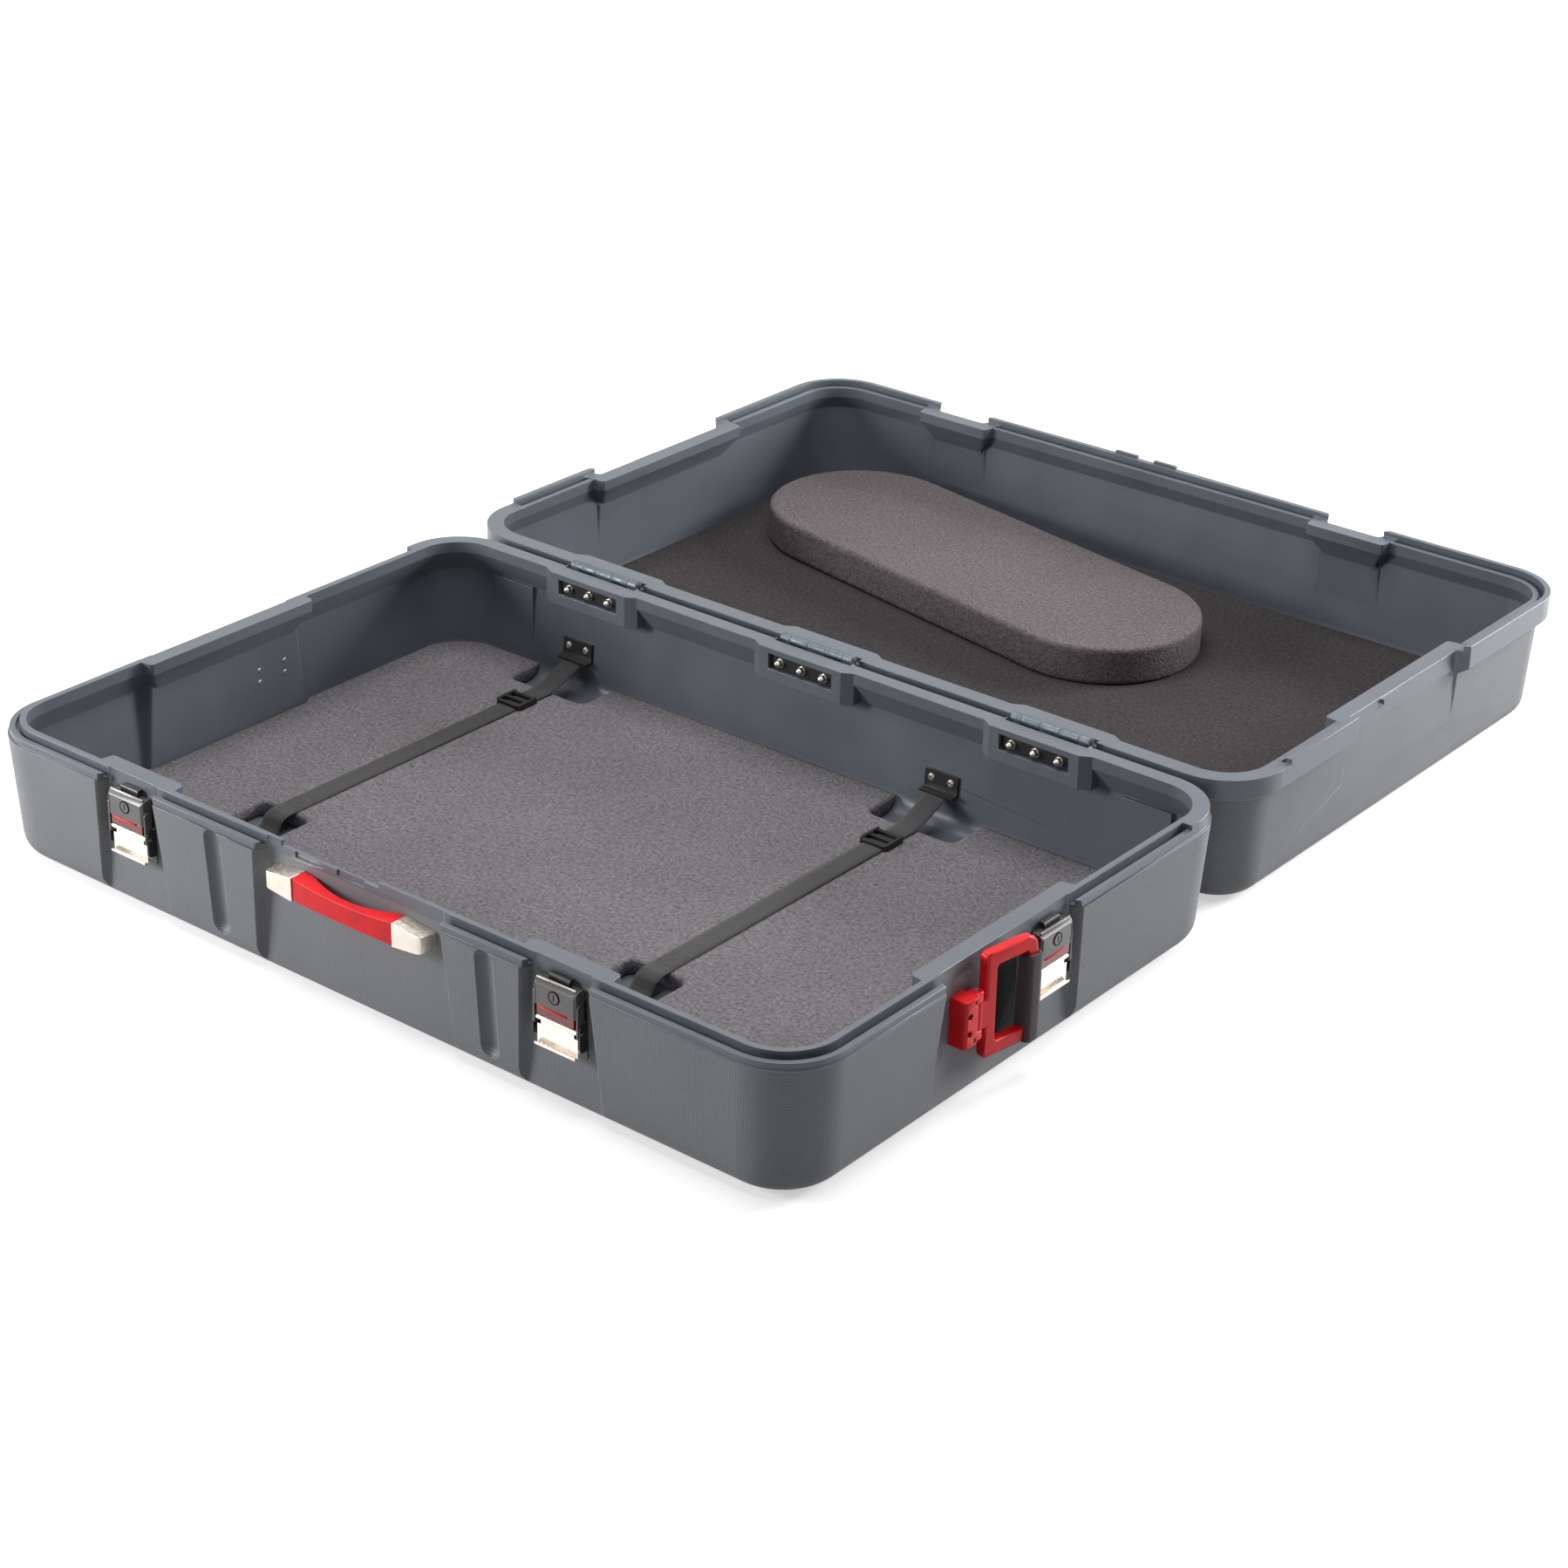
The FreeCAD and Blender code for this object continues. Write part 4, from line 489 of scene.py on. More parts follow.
def row_tree():
    """Node tree that sets one small shape on every point, turned along the point's own axis."""
    tree = bpy.data.node_groups.new("shape_on_points", "GeometryNodeTree")
    face = tree.interface
    for name, kind in (("Geometry", "NodeSocketGeometry"), ("Shape", "NodeSocketObject"),
                       ("Material", "NodeSocketMaterial"), ("Spin", "NodeSocketFloat")):
        face.new_socket(name, in_out="INPUT", socket_type=kind)
    face.new_socket("Geometry", in_out="OUTPUT", socket_type="NodeSocketGeometry")
    given = add(tree, "NodeGroupInput").node.outputs
    axis = add(tree, "GeometryNodeInputNamedAttribute", {"Name": "axis"}, data_type="FLOAT_VECTOR")
    turn = add(tree, "FunctionNodeAlignRotationToVector", {"Vector": axis}, axis="Z")
    shape = add(tree, "GeometryNodeObjectInfo", {"Object": given["Shape"]}, out="Geometry")
    rows = add(tree, "GeometryNodeInstanceOnPoints",
               {"Points": given[0], "Instance": shape, "Rotation": turn})
    chance = add(tree, "FunctionNodeRandomValue", {"Max": 2 * math.pi, "Seed": 7}, out="Value",
                 data_type="FLOAT")
    spin = add(tree, "ShaderNodeMath", {0: chance, 1: given["Spin"]}, operation="MULTIPLY")
    about = add(tree, "ShaderNodeCombineXYZ", {2: spin})
    rows = add(tree, "GeometryNodeRotateInstances", {"Instances": rows, "Rotation": about})
    whole = add(tree, "GeometryNodeRealizeInstances", {0: rows})
    dressed = add(tree, "GeometryNodeSetMaterial",
                  {"Geometry": whole, "Material": given["Material"]})
    add(tree, "NodeGroupOutput", {0: dressed})
    return tree


def lathe(profile, sides=12):
    """Small turned shape along Z from (radius, height) pairs in mm."""
    bm = bmesh.new()
    rings = []
    for radius, height in profile:
        angles = [2 * math.pi * i / sides for i in range(sides if radius > 0 else 1)]
        rings.append([bm.verts.new((radius * MM * math.cos(t), radius * MM * math.sin(t),
                                    height * MM)) for t in angles])
    for low, high in zip(rings, rings[1:]):
        for i in range(sides):
            ring = [low[i % len(low)], low[(i + 1) % len(low)],
                    high[(i + 1) % len(high)], high[i % len(high)]]
            bm.faces.new(list(dict.fromkeys(ring)))
    bmesh.ops.recalc_face_normals(bm, faces=bm.faces)
    mesh = mesh_from(bm, "turned shape")
    mesh.shade_smooth()
    mesh.set_sharp_from_angle(angle=math.radians(40))
    return new_object("turned_shape", mesh)


def capsule(radius, span):
    """Small rod with rounded ends along Z, sizes in mm."""
    half = span / 2
    return lathe([(0, -half), (radius * 0.7, radius * 0.3 - half), (radius, radius - half),
                  (radius, half - radius), (radius * 0.7, half - radius * 0.3), (0, half)], 8)


def set_rows(name, shape, points, axes, body, slot, material, *nodes, spin=0.0):
    """Piece made of one shape repeated on the points along their axes; the shape is used up."""
    mesh = bpy.data.meshes.new(name)
    mesh.from_pydata(points, [], [])
    attribute = mesh.attributes.new("axis", "FLOAT_VECTOR", "POINT")
    attribute.data.foreach_set("vector", [c for axis in axes for c in axis])
    obj = new_object(name, mesh)
    tree = bpy.data.node_groups.get("shape_on_points") or row_tree()
    rows = obj.modifiers.new("Rows", "NODES")
    rows.node_group = tree
    names = {item.name: item.identifier for item in tree.interface.items_tree
             if item.in_out == "INPUT"}
    rows[names["Shape"]] = shape
    rows[names["Material"]] = MATERIALS[material]
    rows[names["Spin"]] = spin
    bake(obj)
    bpy.data.objects.remove(shape)
    settle(obj, body, slot, material, *nodes)


def islands(node):
    """Boxes of the separate solids of a CAD node, as (low, high) corners."""
    bm = bmesh.new()
    bm.from_mesh(frame["nodes"][node].data)
    bmesh.ops.remove_doubles(bm, verts=bm.verts, dist=WELD)
    seen = set()
    boxes = []
    for start in bm.verts:
        if start in seen:
            continue
        seen.add(start)
        queue = [start]
        group = []
        while queue:
            vert = queue.pop()
            group.append(vert.co.copy())
            for edge in vert.link_edges:
                other = edge.other_vert(vert)
                if other not in seen:
                    seen.add(other)
                    queue.append(other)
        sides = list(zip(*group))
        boxes.append((Vector([min(c) for c in sides]), Vector([max(c) for c in sides])))
    bm.free()
    return boxes


def fasteners(node, profile, axis_of, material):
    """Turned fasteners in place of a CAD node's plain ones, each from its tip towards its axis."""
    points = []
    axes = []
    for low, high in islands(node):
        middle = (low + high) / 2
        axis = axis_of(middle)
        reach = sum(abs(a) * (h - l) / 2 for a, h, l in zip(axis, high, low))
        points.append(middle - axis * reach)
        axes.append(axis)
    set_rows(node + "_piece", lathe(profile), points, axes, body_of(node), SLOTS[node], material,
             node, spin=1.0)


def wall_axis(middle):
    """Outward direction of the wall that a place on the base half belongs to."""
    behind_front_wall = -340 * MM
    if middle.y < behind_front_wall:
        return FORWARD
    return Vector((math.copysign(1, middle.x), 0, 0))


def latch_place(place, along, out, up):
    """Point at a latch cover and its axes.

    It lies along the wall, out from the cover's face and up from the ground, all in mm."""
    low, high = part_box("latch_housing_" + place)
    middle = (low + high) / 2
    outward = wall_axis(middle)
    sideways = UP.cross(outward) * -1
    face = middle + outward * (abs((high - low).dot(outward)) / 2)
    point = face + sideways * along * MM + outward * out * MM
    point.z = up * MM
    return point, {"along": sideways, "out": outward, "up": UP}


CORNER_RADIUS = 78 * MM  # of the shells' outer corners, seen from above
UNDERSIDE_TOP = 100 * MM  # below this, a face that looks down is outside too
OUTWARD_SHARE = 0.04  # least outward lean of an outside face


def mark_skin(mesh, box, grain_top):
    """Face attribute: on outside faces the height where the grain ends, 0 on the smooth inside."""
    centre = (box[0] + box[1]) / 2
    half = (box[1] - box[0]) / 2
    count = len(mesh.polygons)
    middles = np.zeros(count * 3)
    normals = np.zeros(count * 3)
    mesh.polygons.foreach_get("center", middles)
    mesh.polygons.foreach_get("normal", normals)
    middles = middles.reshape(-1, 3)
    normals = normals.reshape(-1, 3)
    flat = middles[:, :2] - np.array(centre[:2])
    reach = np.abs(flat) - (np.array(half[:2]) - CORNER_RADIUS)
    nearest_wall = np.where(reach >= reach.max(1)[:, None], 1.0, 0.0)
    push = np.where(reach.min(1)[:, None] > 0, reach, nearest_wall)
    outward = np.sign(flat) * push / np.maximum(np.linalg.norm(push, axis=1), 1e-9)[:, None]
    upward = np.where(middles[:, 2] < UNDERSIDE_TOP, normals[:, 2], 0)
    facing = (normals[:, :2] * outward).sum(1) - upward
    tops = np.where(facing > OUTWARD_SHARE, grain_top, 0).astype(np.float32)
    mesh.attributes.new("grain_top", "FLOAT", "FACE").data.foreach_set("value", tops)


class CASE_OT_shells(bpy.types.Operator):
    """Both moulded halves with rounded edges and a grained outside"""
    bl_idname = "case.shells"
    bl_label = "Shell halves"

    def execute(self, context):
        width = context.scene.case_sizes.shell_edge
        for node, weld, grain_top in (("base_shell", 1.25, 148), ("lid_shell", 1.875, 139)):
            obj = softened(node, "shell_plastic", width, weld)
            mark_skin(obj.data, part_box(node), grain_top * MM)
        return {"FINISHED"}


def fine_skin(node, voxel, rounds):
    """Copy of a CAD node under a fine even skin, its edges eased by rounds of smoothing."""
    obj = copy_of(node, node + "_piece")
    skin = obj.modifiers.new("Fine skin", "REMESH")
    skin.mode = "VOXEL"
    skin.voxel_size = voxel
    skin.use_smooth_shade = True
    ease = obj.modifiers.new("Eased edges", "SMOOTH")
    ease.factor = 0.5
    ease.iterations = rounds
    return bake(obj)


SOFT_DEPTH = 12 * MM  # depth under its top to which foam is uneven
FOAM_WAVES = 14.0  # unevennesses in a metre
PAD_VOXEL = 0.7  # facets of the pad, as a share of the sheets'


def foam_block(node, voxel, wave, dents):
    """Foam piece: eased at its edges, softly uneven on top and dented where it is pressed."""
    obj = fine_skin(node, voxel, 2)
    mesh = obj.data
    points = np.zeros(len(mesh.vertices) * 3)
    mesh.vertices.foreach_get("co", points)
    points = points.reshape(-1, 3)
    top = points[:, 2].max()
    depth = np.clip((points[:, 2] - top + SOFT_DEPTH) / SOFT_DEPTH, 0, 1)
    drop = np.array([0.5 + 0.5 * noise.noise(Vector(p) * FOAM_WAVES) for p in points]) * wave
    for dent in dents:
        drop += dent(points)
    points[:, 2] -= drop * depth
    mesh.vertices.foreach_set("co", points.ravel())
    mesh.update()
    settle(obj, body_of(node), SLOTS[node], node, node)


def strap_swell(points):
    """Foam squeezed up a little beside the straps, along their run over the sheet."""
    front, back, fade = -130 * MM, 300 * MM, 20 * MM
    height, gap, spread = 1.1 * MM, 8 * MM, 6 * MM
    y = points[:, 1]
    run = np.clip((y - front) / fade, 0, 1) * np.clip((back - y) / fade, 0, 1)
    rise = np.zeros(len(points))
    for side in SIDES:
        low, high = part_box("strap_" + side)
        away = np.abs(points[:, 0] - (low.x + high.x) / 2) - (high.x - low.x) / 2
        rise += height * np.exp(-((away - gap) / spread) ** 2) * run
    return -rise


def pad_dent(points):
    """Foam pressed down a little by the loose pad."""
    half_length, half_width, depth = 360 * MM, 150 * MM, 0.6 * MM
    start, fade = 0.9, 0.2
    low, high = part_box("foam_pad")
    centre = (low + high) / 2
    away = np.maximum(np.abs(points[:, 0] - centre.x) / half_length,
                      np.abs(points[:, 1] - centre.y) / half_width)
    return depth * np.clip(1 - (away - start) / fade, 0, 1)


class CASE_OT_foam(bpy.types.Operator):
    """Foam sheets of both halves and the loose oval pad"""
    bl_idname = "case.foam"
    bl_label = "Foam"

    def execute(self, context):
        sizes = context.scene.case_sizes
        foam_block("base_foam", sizes.foam_voxel, sizes.foam_wave, [strap_swell])
        foam_block("lid_foam", sizes.foam_voxel, sizes.foam_wave, [pad_dent])
        foam_block("foam_pad", sizes.foam_voxel * PAD_VOXEL, sizes.foam_wave, [])
        return {"FINISHED"}


STRAP_HALF_WIDTH = 15 * MM
STRAP_HALF_THICKNESS = 0.95 * MM
STRAP_CORNERS = ((-176, 8.3), (-161, 8.3), (-149, 25.3), (318, 25.3), (363.9, 44.7))  # y, z in mm
BEND_LENGTH = 8 * MM  # distance from a corner at which the strap starts to bend
BEND_SHARE = 0.2  # the same on a short stretch, as a share of it
WEBBING_SECTION = ((-1.0, 0.0), (-0.96, 0.75), (-0.6, 1.0), (0.0, 1.0), (0.6, 1.0), (0.96, 0.75),
                   (1.0, 0.0), (0.96, -0.75), (0.6, -1.0), (0.0, -1.0), (-0.6, -1.0),
                   (-0.96, -0.75))
STITCH_HEIGHT = 26.25 * MM


def strap_route(x):
    """Centre line of a strap: from the floor anchor over the foam to the wall anchor."""
    corners = [Vector((x, y * MM, z * MM)) for y, z in STRAP_CORNERS]
    curve = bpy.data.curves.new("strap route", "CURVE")
    curve.dimensions = "3D"
    curve.resolution_u = 12
    spline = curve.splines.new("NURBS")
    knots = [corners[0]]
    for a, b in zip(corners, corners[1:]):
        bend = min(BEND_SHARE, BEND_LENGTH / (b - a).length)
        knots += [a.lerp(b, bend * k) for k in (1, 2)] + [b.lerp(a, bend * k) for k in (2, 1)]
    knots.append(corners[-1])
    spline.points.add(len(knots) - 1)
    for point, knot in zip(spline.points, knots):
        point.co = (*knot, 1)
    spline.use_endpoint_u = True
    spline.order_u = 3
    obj = new_object("strap_route", curve)
    depsgraph = bpy.context.evaluated_depsgraph_get()
    mesh = bpy.data.meshes.new_from_object(obj.evaluated_get(depsgraph))
    line = [v.co.copy() for v in mesh.vertices]
    bpy.data.objects.remove(obj)
    bpy.data.meshes.remove(mesh)
    return line


def webbing_strip(name, line):
    """Flat woven strip with rounded selvedges along a line, its weave laid out in a UV map."""
    bm = bmesh.new()
    weave = bm.loops.layers.uv.new("weave")
    side = Vector((1, 0, 0))
    rings = []
    travel = 0.0
    travels = []
    for i, point in enumerate(line):
        before = line[max(i - 1, 0)]
        after = line[min(i + 1, len(line) - 1)]
        travel += (point - before).length
        travels.append(travel)
        up = side.cross((after - before).normalized())
        rings.append([bm.verts.new(point + side * u * STRAP_HALF_WIDTH
                                   + up * v * STRAP_HALF_THICKNESS) for u, v in WEBBING_SECTION])
    count = len(WEBBING_SECTION)
    for i in range(len(rings) - 1):
        for k in range(count):
            n = (k + 1) % count
            face = bm.faces.new((rings[i][k], rings[i][n], rings[i + 1][n], rings[i + 1][k]))
            this, other = WEBBING_SECTION[k][0], WEBBING_SECTION[n][0]
            down = (travels[i], travels[i], travels[i + 1], travels[i + 1])
            for loop, u, v in zip(face.loops, (this, other, other, this), down):
                loop[weave].uv = (u * STRAP_HALF_WIDTH, v)
    bm.faces.new(list(reversed(rings[0])))
    bm.faces.new(rings[-1])
    bmesh.ops.recalc_face_normals(bm, faces=bm.faces)
    mesh = mesh_from(bm, name)
    mesh.shade_smooth()
    return new_object(name, mesh)


def stitch_strap(side):
    """Box of stitches with a cross in it that holds the strap's folded front end."""
    node = "strap_" + side
    low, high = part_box(node)
    x = (low.x + high.x) / 2
    spots = []
    for row in (-11, 11):
        spots += [(row, -120 + 4 * i, (0, 1, 0)) for i in range(7)]
    for end in (-122, -94):
        spots += [(4 * i - 10, end, (1, 0, 0)) for i in range(6)]
    for slant in (-1, 1):
        spots += [(slant * (3.2 * i - 9.6), -117.5 + 3.2 * i, (slant, 1, 0)) for i in range(7)]
    points = [Vector((x + across * MM, y * MM, STITCH_HEIGHT)) for across, y, axis in spots]
    axes = [Vector(axis).normalized() for across, y, axis in spots]
    set_rows(node + "_stitches", capsule(0.4, 3.0), points, axes, body_of(node), SLOTS[node],
             "thread")


# Turned profiles of the fasteners along their axes, (radius, height) in mm.
ANCHOR_BOLT = ((0, 0), (2.5, 0), (2.5, 6.4), (5.2, 6.4), (5.2, 7.2), (4.5, 7.2), (4.5, 8.6),
               (3.4, 9.5), (1.8, 9.5), (1.5, 8.2), (0, 8.2))
LATCH_RIVET = ((0, 0), (2.6, 0.3), (3.4, 1.2), (2.0, 1.2), (2.0, 6.7), (3.4, 6.7), (2.6, 7.6),
               (0, 7.9))
# Painted shade: a near-black ring over the gap round a lock's cylinder
LOCK_GAP_SHADE = ((6.2, 0.2), (7.3, 0.2), (7.3, 0.7), (6.75, 1.0), (6.2, 0.7), (6.2, 0.2))
HANDLE_SCREW = ((0, 0), (1.6, 0.4), (1.8, 0), (4.2, 0), (5.0, 0.9), (5.0, 2.5), (2.5, 2.5),
                (2.5, 6.5), (0, 6.5))
PULL_SCREW = ((0, 0), (2.2, 0), (2.2, 24.0), (3.6, 24.0), (3.6, 26.2), (3.0, 27.0), (1.9, 27.0),
              (1.6, 25.4), (0, 25.4))
HINGE_BOLT = ((0, 0), (3.4, 0), (4.5, 0.9), (4.5, 2.2), (2.5, 2.2))
DOMED_NUT = ((2.5, 0), (6.0, 0), (6.0, 1.2), (4.6, 1.2), (4.6, 5.0), (4.0, 7.2), (2.4, 8.8),
             (0, 9.6))


def anchor_axis(middle):
    """Direction of an anchor's bolt: up from the floor, or forward from the hinge-side wall."""
    floor_bolts_below = 30 * MM
    return UP if middle.z < floor_bolts_below else FORWARD


class CASE_OT_straps(bpy.types.Operator):
    """Webbing straps with their slides, anchors and bolts"""
    bl_idname = "case.straps"
    bl_label = "Straps"

    def execute(self, context):
        sizes = context.scene.case_sizes
        for side in SIDES:
            node = "strap_" + side
            low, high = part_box(node)
            strip = webbing_strip(node + "_piece", strap_route((low.x + high.x) / 2))
            settle(strip, body_of(node), SLOTS[node], "webbing", node)
            softened("buckle_" + side, "black_plastic", sizes.plastic_edge * 0.8)
            stitch_strap(side)
        softened("floor_anchors", "black_coated", sizes.metal_edge)
        softened("wall_anchors", "black_coated", sizes.metal_edge)
        fasteners("anchor_bolts", ANCHOR_BOLT, anchor_axis, "zinc_steel")
        return {"FINISHED"}


LOCK_HEIGHT = 132  # of the locks' middle above the ground, in mm


def latch_trim(name, shape, places, axis, slot, material):
    """Trim of the latch covers: one shape at each place, along the named axis of the place."""
    points = [point for point, axes in places]
    turns = [axes[axis] for point, axes in places]
    set_rows(name, shape, points, turns, "base", slot, material)


class CASE_OT_latches(bpy.types.Operator):
    """Four lever latches"""
    bl_idname = "case.latches"
    bl_label = "Latches"

    def execute(self, context):
        edge = context.scene.case_sizes.metal_edge
        for place in LATCHES:
            softened("latch_plate_" + place, "black_coated", edge)
            softened("latch_housing_" + place, "cover", edge * 2)
            softened("latch_lever_" + place, "bright_steel", edge)
            softened("latch_claw_" + place, "black_coated", edge)
            softened("latch_lock_" + place, "cover", edge)
        # Painted shade: red insert darkened under the cover
        softened("latch_inserts", "shaded_red", edge)
        dress("latch_pins", "zinc_steel")
        fasteners("latch_rivets", LATCH_RIVET, wall_axis, "zinc_steel")
        bars = [latch_place(place, 0, -4.2, 146.6) for place in LATCHES]
        # Painted reflection: the latch bars' nickel darkened for the dark surroundings it reflects
        latch_trim("latch_bars", capsule(1.7, 53), bars, "along", "bright_steel", "dark_reflection_steel")
        # Painted highlight: bright red strips along the inserts' lit edges
        strips = [latch_place(place, 2, -1.5, 114.8) for place in LATCHES]
        latch_trim("latch_red_strips", capsule(1.5, 36), strips, "along", "red_plastic",
                   "red_plastic")
        beads = [latch_place(place, side * 25.6, -0.5, 129) for place in LATCHES
                 for side in (-1, 1)]
        latch_trim("latch_beads", capsule(1.1, 23), beads, "up", "black_plastic", "cover")
        # Painted shade: near-black rings over the gaps round the locks, and a near-black fill in
        # each key slot
        rings = [latch_place(place, 0, 0.1, LOCK_HEIGHT) for place in LATCHES]
        latch_trim("lock_rings", lathe(LOCK_GAP_SHADE, 24), rings, "out", "black_plastic", "shade_black")
        # Painted shade: near-black fill in the key slot
        for place in LATCHES:
            node = "latch_lock_" + place
            point, axes = latch_place(place, 0, -0.1, LOCK_HEIGHT)
            set_rows("key_slot_" + place, capsule(0.62, 6.8), [point], [axes["up"]],
                     body_of(node), SLOTS[node], "shade_black")
        return {"FINISHED"}


def add_block(bm, low, high):
    """Box between two corners."""
    place = Matrix.Translation((low + high) / 2) @ Matrix.Diagonal((*(high - low), 1))
    bmesh.ops.create_cube(bm, size=1, matrix=place)


def ease_edges(bm, edges, width, segments):
    bmesh.ops.bevel(bm, geom=edges, offset=width, segments=segments, affect="EDGES", profile=0.5)


def bumper_pad():
    """Painted shade: a near-black pad on the wall behind the pull handle's loop, standing in for
    the shadow that the loop casts there.
    """
    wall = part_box("latch_plate_right_end")[0].x
    low = Vector((wall - 0.3 * MM, -50 * MM, 40 * MM))
    high = Vector((wall + 2.2 * MM, 5 * MM, 140 * MM))
    near = 0.01 * MM
    bm = bmesh.new()
    add_block(bm, low, high)
    level = [edge for edge in bm.edges
             if abs(edge.verts[0].co.x - edge.verts[1].co.x) > 1 * MM]
    ease_edges(bm, level, 7 * MM, 6)
    front = [edge for edge in bm.edges
             if all(vert.co.x > high.x - near for vert in edge.verts)]
    ease_edges(bm, front, 0.9 * MM, 2)
    mesh = mesh_from(bm, "bumper_pad")
    mesh.shade_smooth()
    mesh.set_sharp_from_angle(angle=math.radians(50))
    settle(new_object("bumper_pad", mesh), "base", "black_plastic", "shade_black")


class CASE_OT_handles(bpy.types.Operator):
    """Carry handle and pull handle"""
    bl_idname = "case.handles"
    bl_label = "Handles"

    def execute(self, context):
        edge = context.scene.case_sizes.plastic_edge
        softened("handle_grip", "red_plastic", edge * 2)
        softened("handle_cap_left", "satin_nickel", edge)
        softened("handle_cap_right", "satin_nickel", edge)
        softened("pull_block", "red_plastic", edge * 1.5)
        softened("pull_loop", "red_plastic", edge * 2.2, segments=3)
        fasteners("handle_screws", HANDLE_SCREW, lambda middle: FORWARD, "zinc_steel")
        dress("pull_pin", "zinc_steel")
        # Painted shade behind the pull loop, as a near-black pad
        bumper_pad()
        fasteners("pull_screws", PULL_SCREW, wall_axis, "black_coated")
        sleeve = fine_skin("pull_grip", 1.6 * MM, 4)
        settle(sleeve, body_of("pull_grip"), SLOTS["pull_grip"], "grip_foam", "pull_grip")
        return {"FINISHED"}


def window_plates():
    """Black spacer plates that fill the base's hinge windows up to the nuts."""
    nut_seat = 363 * MM
    bm = bmesh.new()
    for low, high in islands("base_backing_plates"):
        add_block(bm, Vector((low.x, nut_seat, low.z)), Vector((high.x, low.y, high.z)))
    ease_edges(bm, bm.edges[:], 0.6 * MM, 2)
    mesh = mesh_from(bm, "window_plates")
    settle(new_object("window_plates", mesh), "base", "black_plastic", "black_plastic")


class CASE_OT_hinges(bpy.types.Operator):
    """Three hinges with their pins, bolts and backing plates"""
    bl_idname = "case.hinges"
    bl_label = "Hinges"

    def execute(self, context):
        edge = context.scene.case_sizes.metal_edge
        for place in HINGES:
            softened("hinge_base_leaf_" + place, "hinge_alloy", edge)
            softened("hinge_lid_leaf_" + place, "hinge_alloy", edge)
            dress("hinge_pin_" + place, "zinc_steel")
        for half, inward, reach in (("base", FORWARD, 30.2), ("lid", -FORWARD, 13.2)):
            nut = [(radius, reach + height) for radius, height in DOMED_NUT]
            fasteners(half + "_hinge_bolts", [*HINGE_BOLT, *nut], lambda middle: inward,
                      "zinc_steel")
            softened(half + "_backing_plates", "black_coated", edge)
        window_plates()
        return {"FINISHED"}


CAMERA_PLACE = Vector((2.2495, -2.5095, 1.8021))
CAMERA_TURN = (38.352, 26.346, 1.315)  # azimuth, elevation and roll in degrees
CAMERA_LENS = 77.06
WORLD_LEVEL = 0.11  # light of the world on the case; the backdrop itself is white
FLOOR_REACH = 30.0
FLOOR_GAP = 0.5 * MM
FLOOR_TONE = (0.3, 0.3, 0.3, 1)  # as the case sees it
FLOOR_SEEN = (0.85, 0.85, 0.85, 1)  # as the camera sees it
LAMPS = (  # name, place, aim, size, power
    ("overhead", (-0.2, 0.3, 3.0), (0, 0.3, 0), 2.4, 82),
    ("left", (-2.1, -1.8, 0.8), (-0.4, -0.4, 0.1), 1.0, 66),
    ("right", (1.7, 3.0, 1.1), (0.6, 0.3, 0.1), 1.2, 125),
)


def white_backdrop(tree):
    """Share of camera, glossy and transmission rays, which see the plain white backdrop."""
    path = add(tree, "ShaderNodeLightPath").node.outputs
    seen = add(tree, "ShaderNodeMath", {0: path["Is Camera Ray"], 1: path["Is Glossy Ray"]},
               operation="ADD")
    return add(tree, "ShaderNodeMath", {0: seen, 1: path["Is Transmission Ray"]},
               operation="ADD", use_clamp=True)


def white_paper():
    """White paper: matt, with the shadow of the case, and glowing to plain white further out."""
    material = bpy.data.materials.new("white_paper")
    material.use_nodes = True
    tree = material.node_tree
    tree.nodes.clear()
    seen = white_backdrop(tree)
    tone = add(tree, "ShaderNodeMix", {0: seen, 6: FLOOR_TONE, 7: FLOOR_SEEN}, out=2,
               data_type="RGBA")
    paper = add(tree, "ShaderNodeBsdfDiffuse", {"Color": tone})
    place = add(tree, "ShaderNodeTexCoord", out="Object")
    away = add(tree, "ShaderNodeVectorMath", {0: place}, out="Value", operation="LENGTH")
    fade = add(tree, "ShaderNodeMapRange", {0: away, 1: 1.5, 2: 2.6, 3: 0.5, 4: 1.0})
    lift = add(tree, "ShaderNodeMath", {0: seen, 1: fade}, operation="MULTIPLY")
    glow = add(tree, "ShaderNodeEmission", {"Color": (1, 1, 1, 1), "Strength": lift})
    both = add(tree, "ShaderNodeAddShader", {0: paper, 1: glow})
    add(tree, "ShaderNodeOutputMaterial", {"Surface": both})
    return material


def set_camera(scene):
    """Camera at the photograph's viewing angle."""
    azimuth, elevation, roll = (math.radians(a) for a in CAMERA_TURN)
    back = Vector((math.sin(azimuth) * math.cos(elevation),
                   -math.cos(azimuth) * math.cos(elevation), math.sin(elevation)))
    level = Vector((math.cos(azimuth), math.sin(azimuth), 0))
    upright = back.cross(level)
    right = level * math.cos(roll) + upright * math.sin(roll)
    up = upright * math.cos(roll) - level * math.sin(roll)
    camera = bpy.data.cameras.new("camera")
    camera.lens = CAMERA_LENS
    camera.sensor_width = 36.0
    camera.clip_end = 100.0
    eye = new_object("camera", camera)
    turn = Matrix((right, up, back)).transposed().to_4x4()
    eye.matrix_world = Matrix.Translation(CAMERA_PLACE) @ turn
    scene.camera = eye


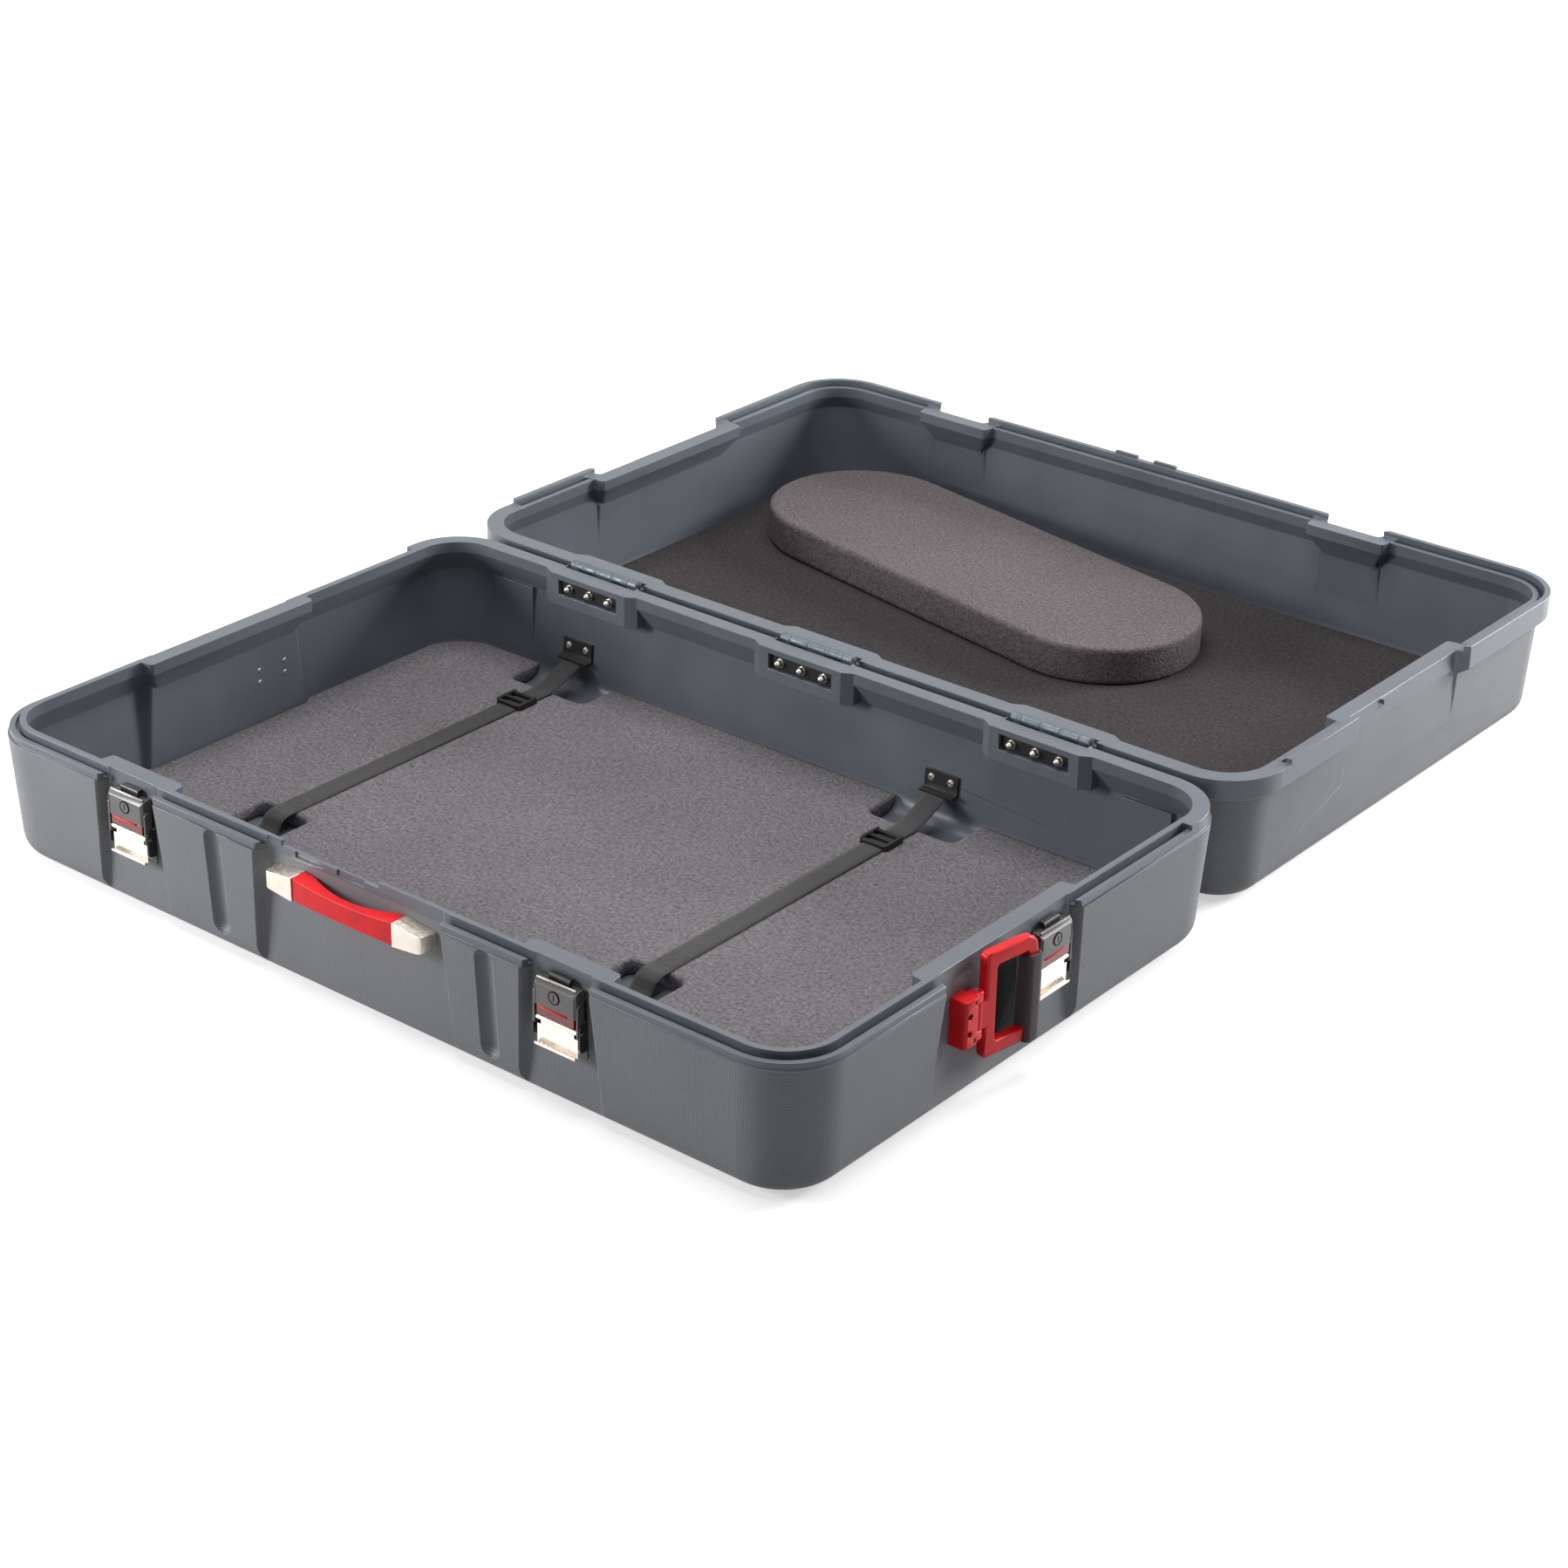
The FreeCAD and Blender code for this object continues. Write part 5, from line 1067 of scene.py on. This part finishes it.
class CASE_OT_stage(bpy.types.Operator):
    """White floor, soft lamps and the camera"""
    bl_idname = "case.stage"
    bl_label = "Stage"

    def execute(self, context):
        scene = context.scene
        scene.view_settings.view_transform = "Standard"
        world = bpy.data.worlds.new("studio")
        scene.world = world
        world.use_nodes = True
        tree = world.node_tree
        level = add(tree, "ShaderNodeMapRange", {0: white_backdrop(tree), 3: WORLD_LEVEL, 4: 1.0})
        fill(tree, tree.nodes["Background"], {"Color": (1, 1, 1, 1), "Strength": level})
        far = FLOOR_REACH
        mesh = bpy.data.meshes.new("floor")
        mesh.from_pydata([(-far, -far, 0), (far, -far, 0), (far, far, 0), (-far, far, 0)], [],
                         [(0, 1, 2, 3)])
        floor = new_object("floor", mesh)
        floor.location.z = -FLOOR_GAP
        mesh.materials.append(white_paper())
        for name, place, aim, size, power in LAMPS:
            light = bpy.data.lights.new(name, "AREA")
            light.shape = "SQUARE"
            light.size = size
            light.energy = power
            lamp = new_object(name, light)
            lamp.location = place
            sight = Vector(aim) - Vector(place)
            lamp.rotation_euler = sight.to_track_quat("-Z", "Y").to_euler()
        set_camera(scene)
        return {"FINISHED"}


OPERATORS = (CASE_OT_stage, CASE_OT_shells, CASE_OT_foam, CASE_OT_straps, CASE_OT_latches,
             CASE_OT_handles, CASE_OT_hinges)


class CASE_PT_panel(bpy.types.Panel):
    """Travel case tools"""
    bl_idname = "CASE_PT_panel"
    bl_label = "Travel case"
    bl_space_type = "VIEW_3D"
    bl_region_type = "UI"
    bl_category = "Travel case"

    def draw(self, context):
        for group in (context.scene.case_finish, context.scene.case_sizes):
            for name in group.__annotations__:
                self.layout.prop(group, name)
        for tool in OPERATORS:
            self.layout.operator(tool.bl_idname)


CLASSES = (CaseFinish, CaseSizes, *OPERATORS, CASE_PT_panel)


def register():
    for item in CLASSES:
        bpy.utils.register_class(item)
    bpy.types.Scene.case_finish = bpy.props.PointerProperty(type=CaseFinish)
    bpy.types.Scene.case_sizes = bpy.props.PointerProperty(type=CaseSizes)


def unregister():
    del bpy.types.Scene.case_sizes
    del bpy.types.Scene.case_finish
    for item in reversed(CLASSES):
        bpy.utils.unregister_class(item)


def main():
    register()
    make_materials(bpy.context.scene)
    bpy.ops.case.stage()
    bpy.ops.case.shells()
    bpy.ops.case.foam()
    bpy.ops.case.straps()
    bpy.ops.case.latches()
    bpy.ops.case.handles()
    bpy.ops.case.hinges()


if __name__ == "__main__":
    main()
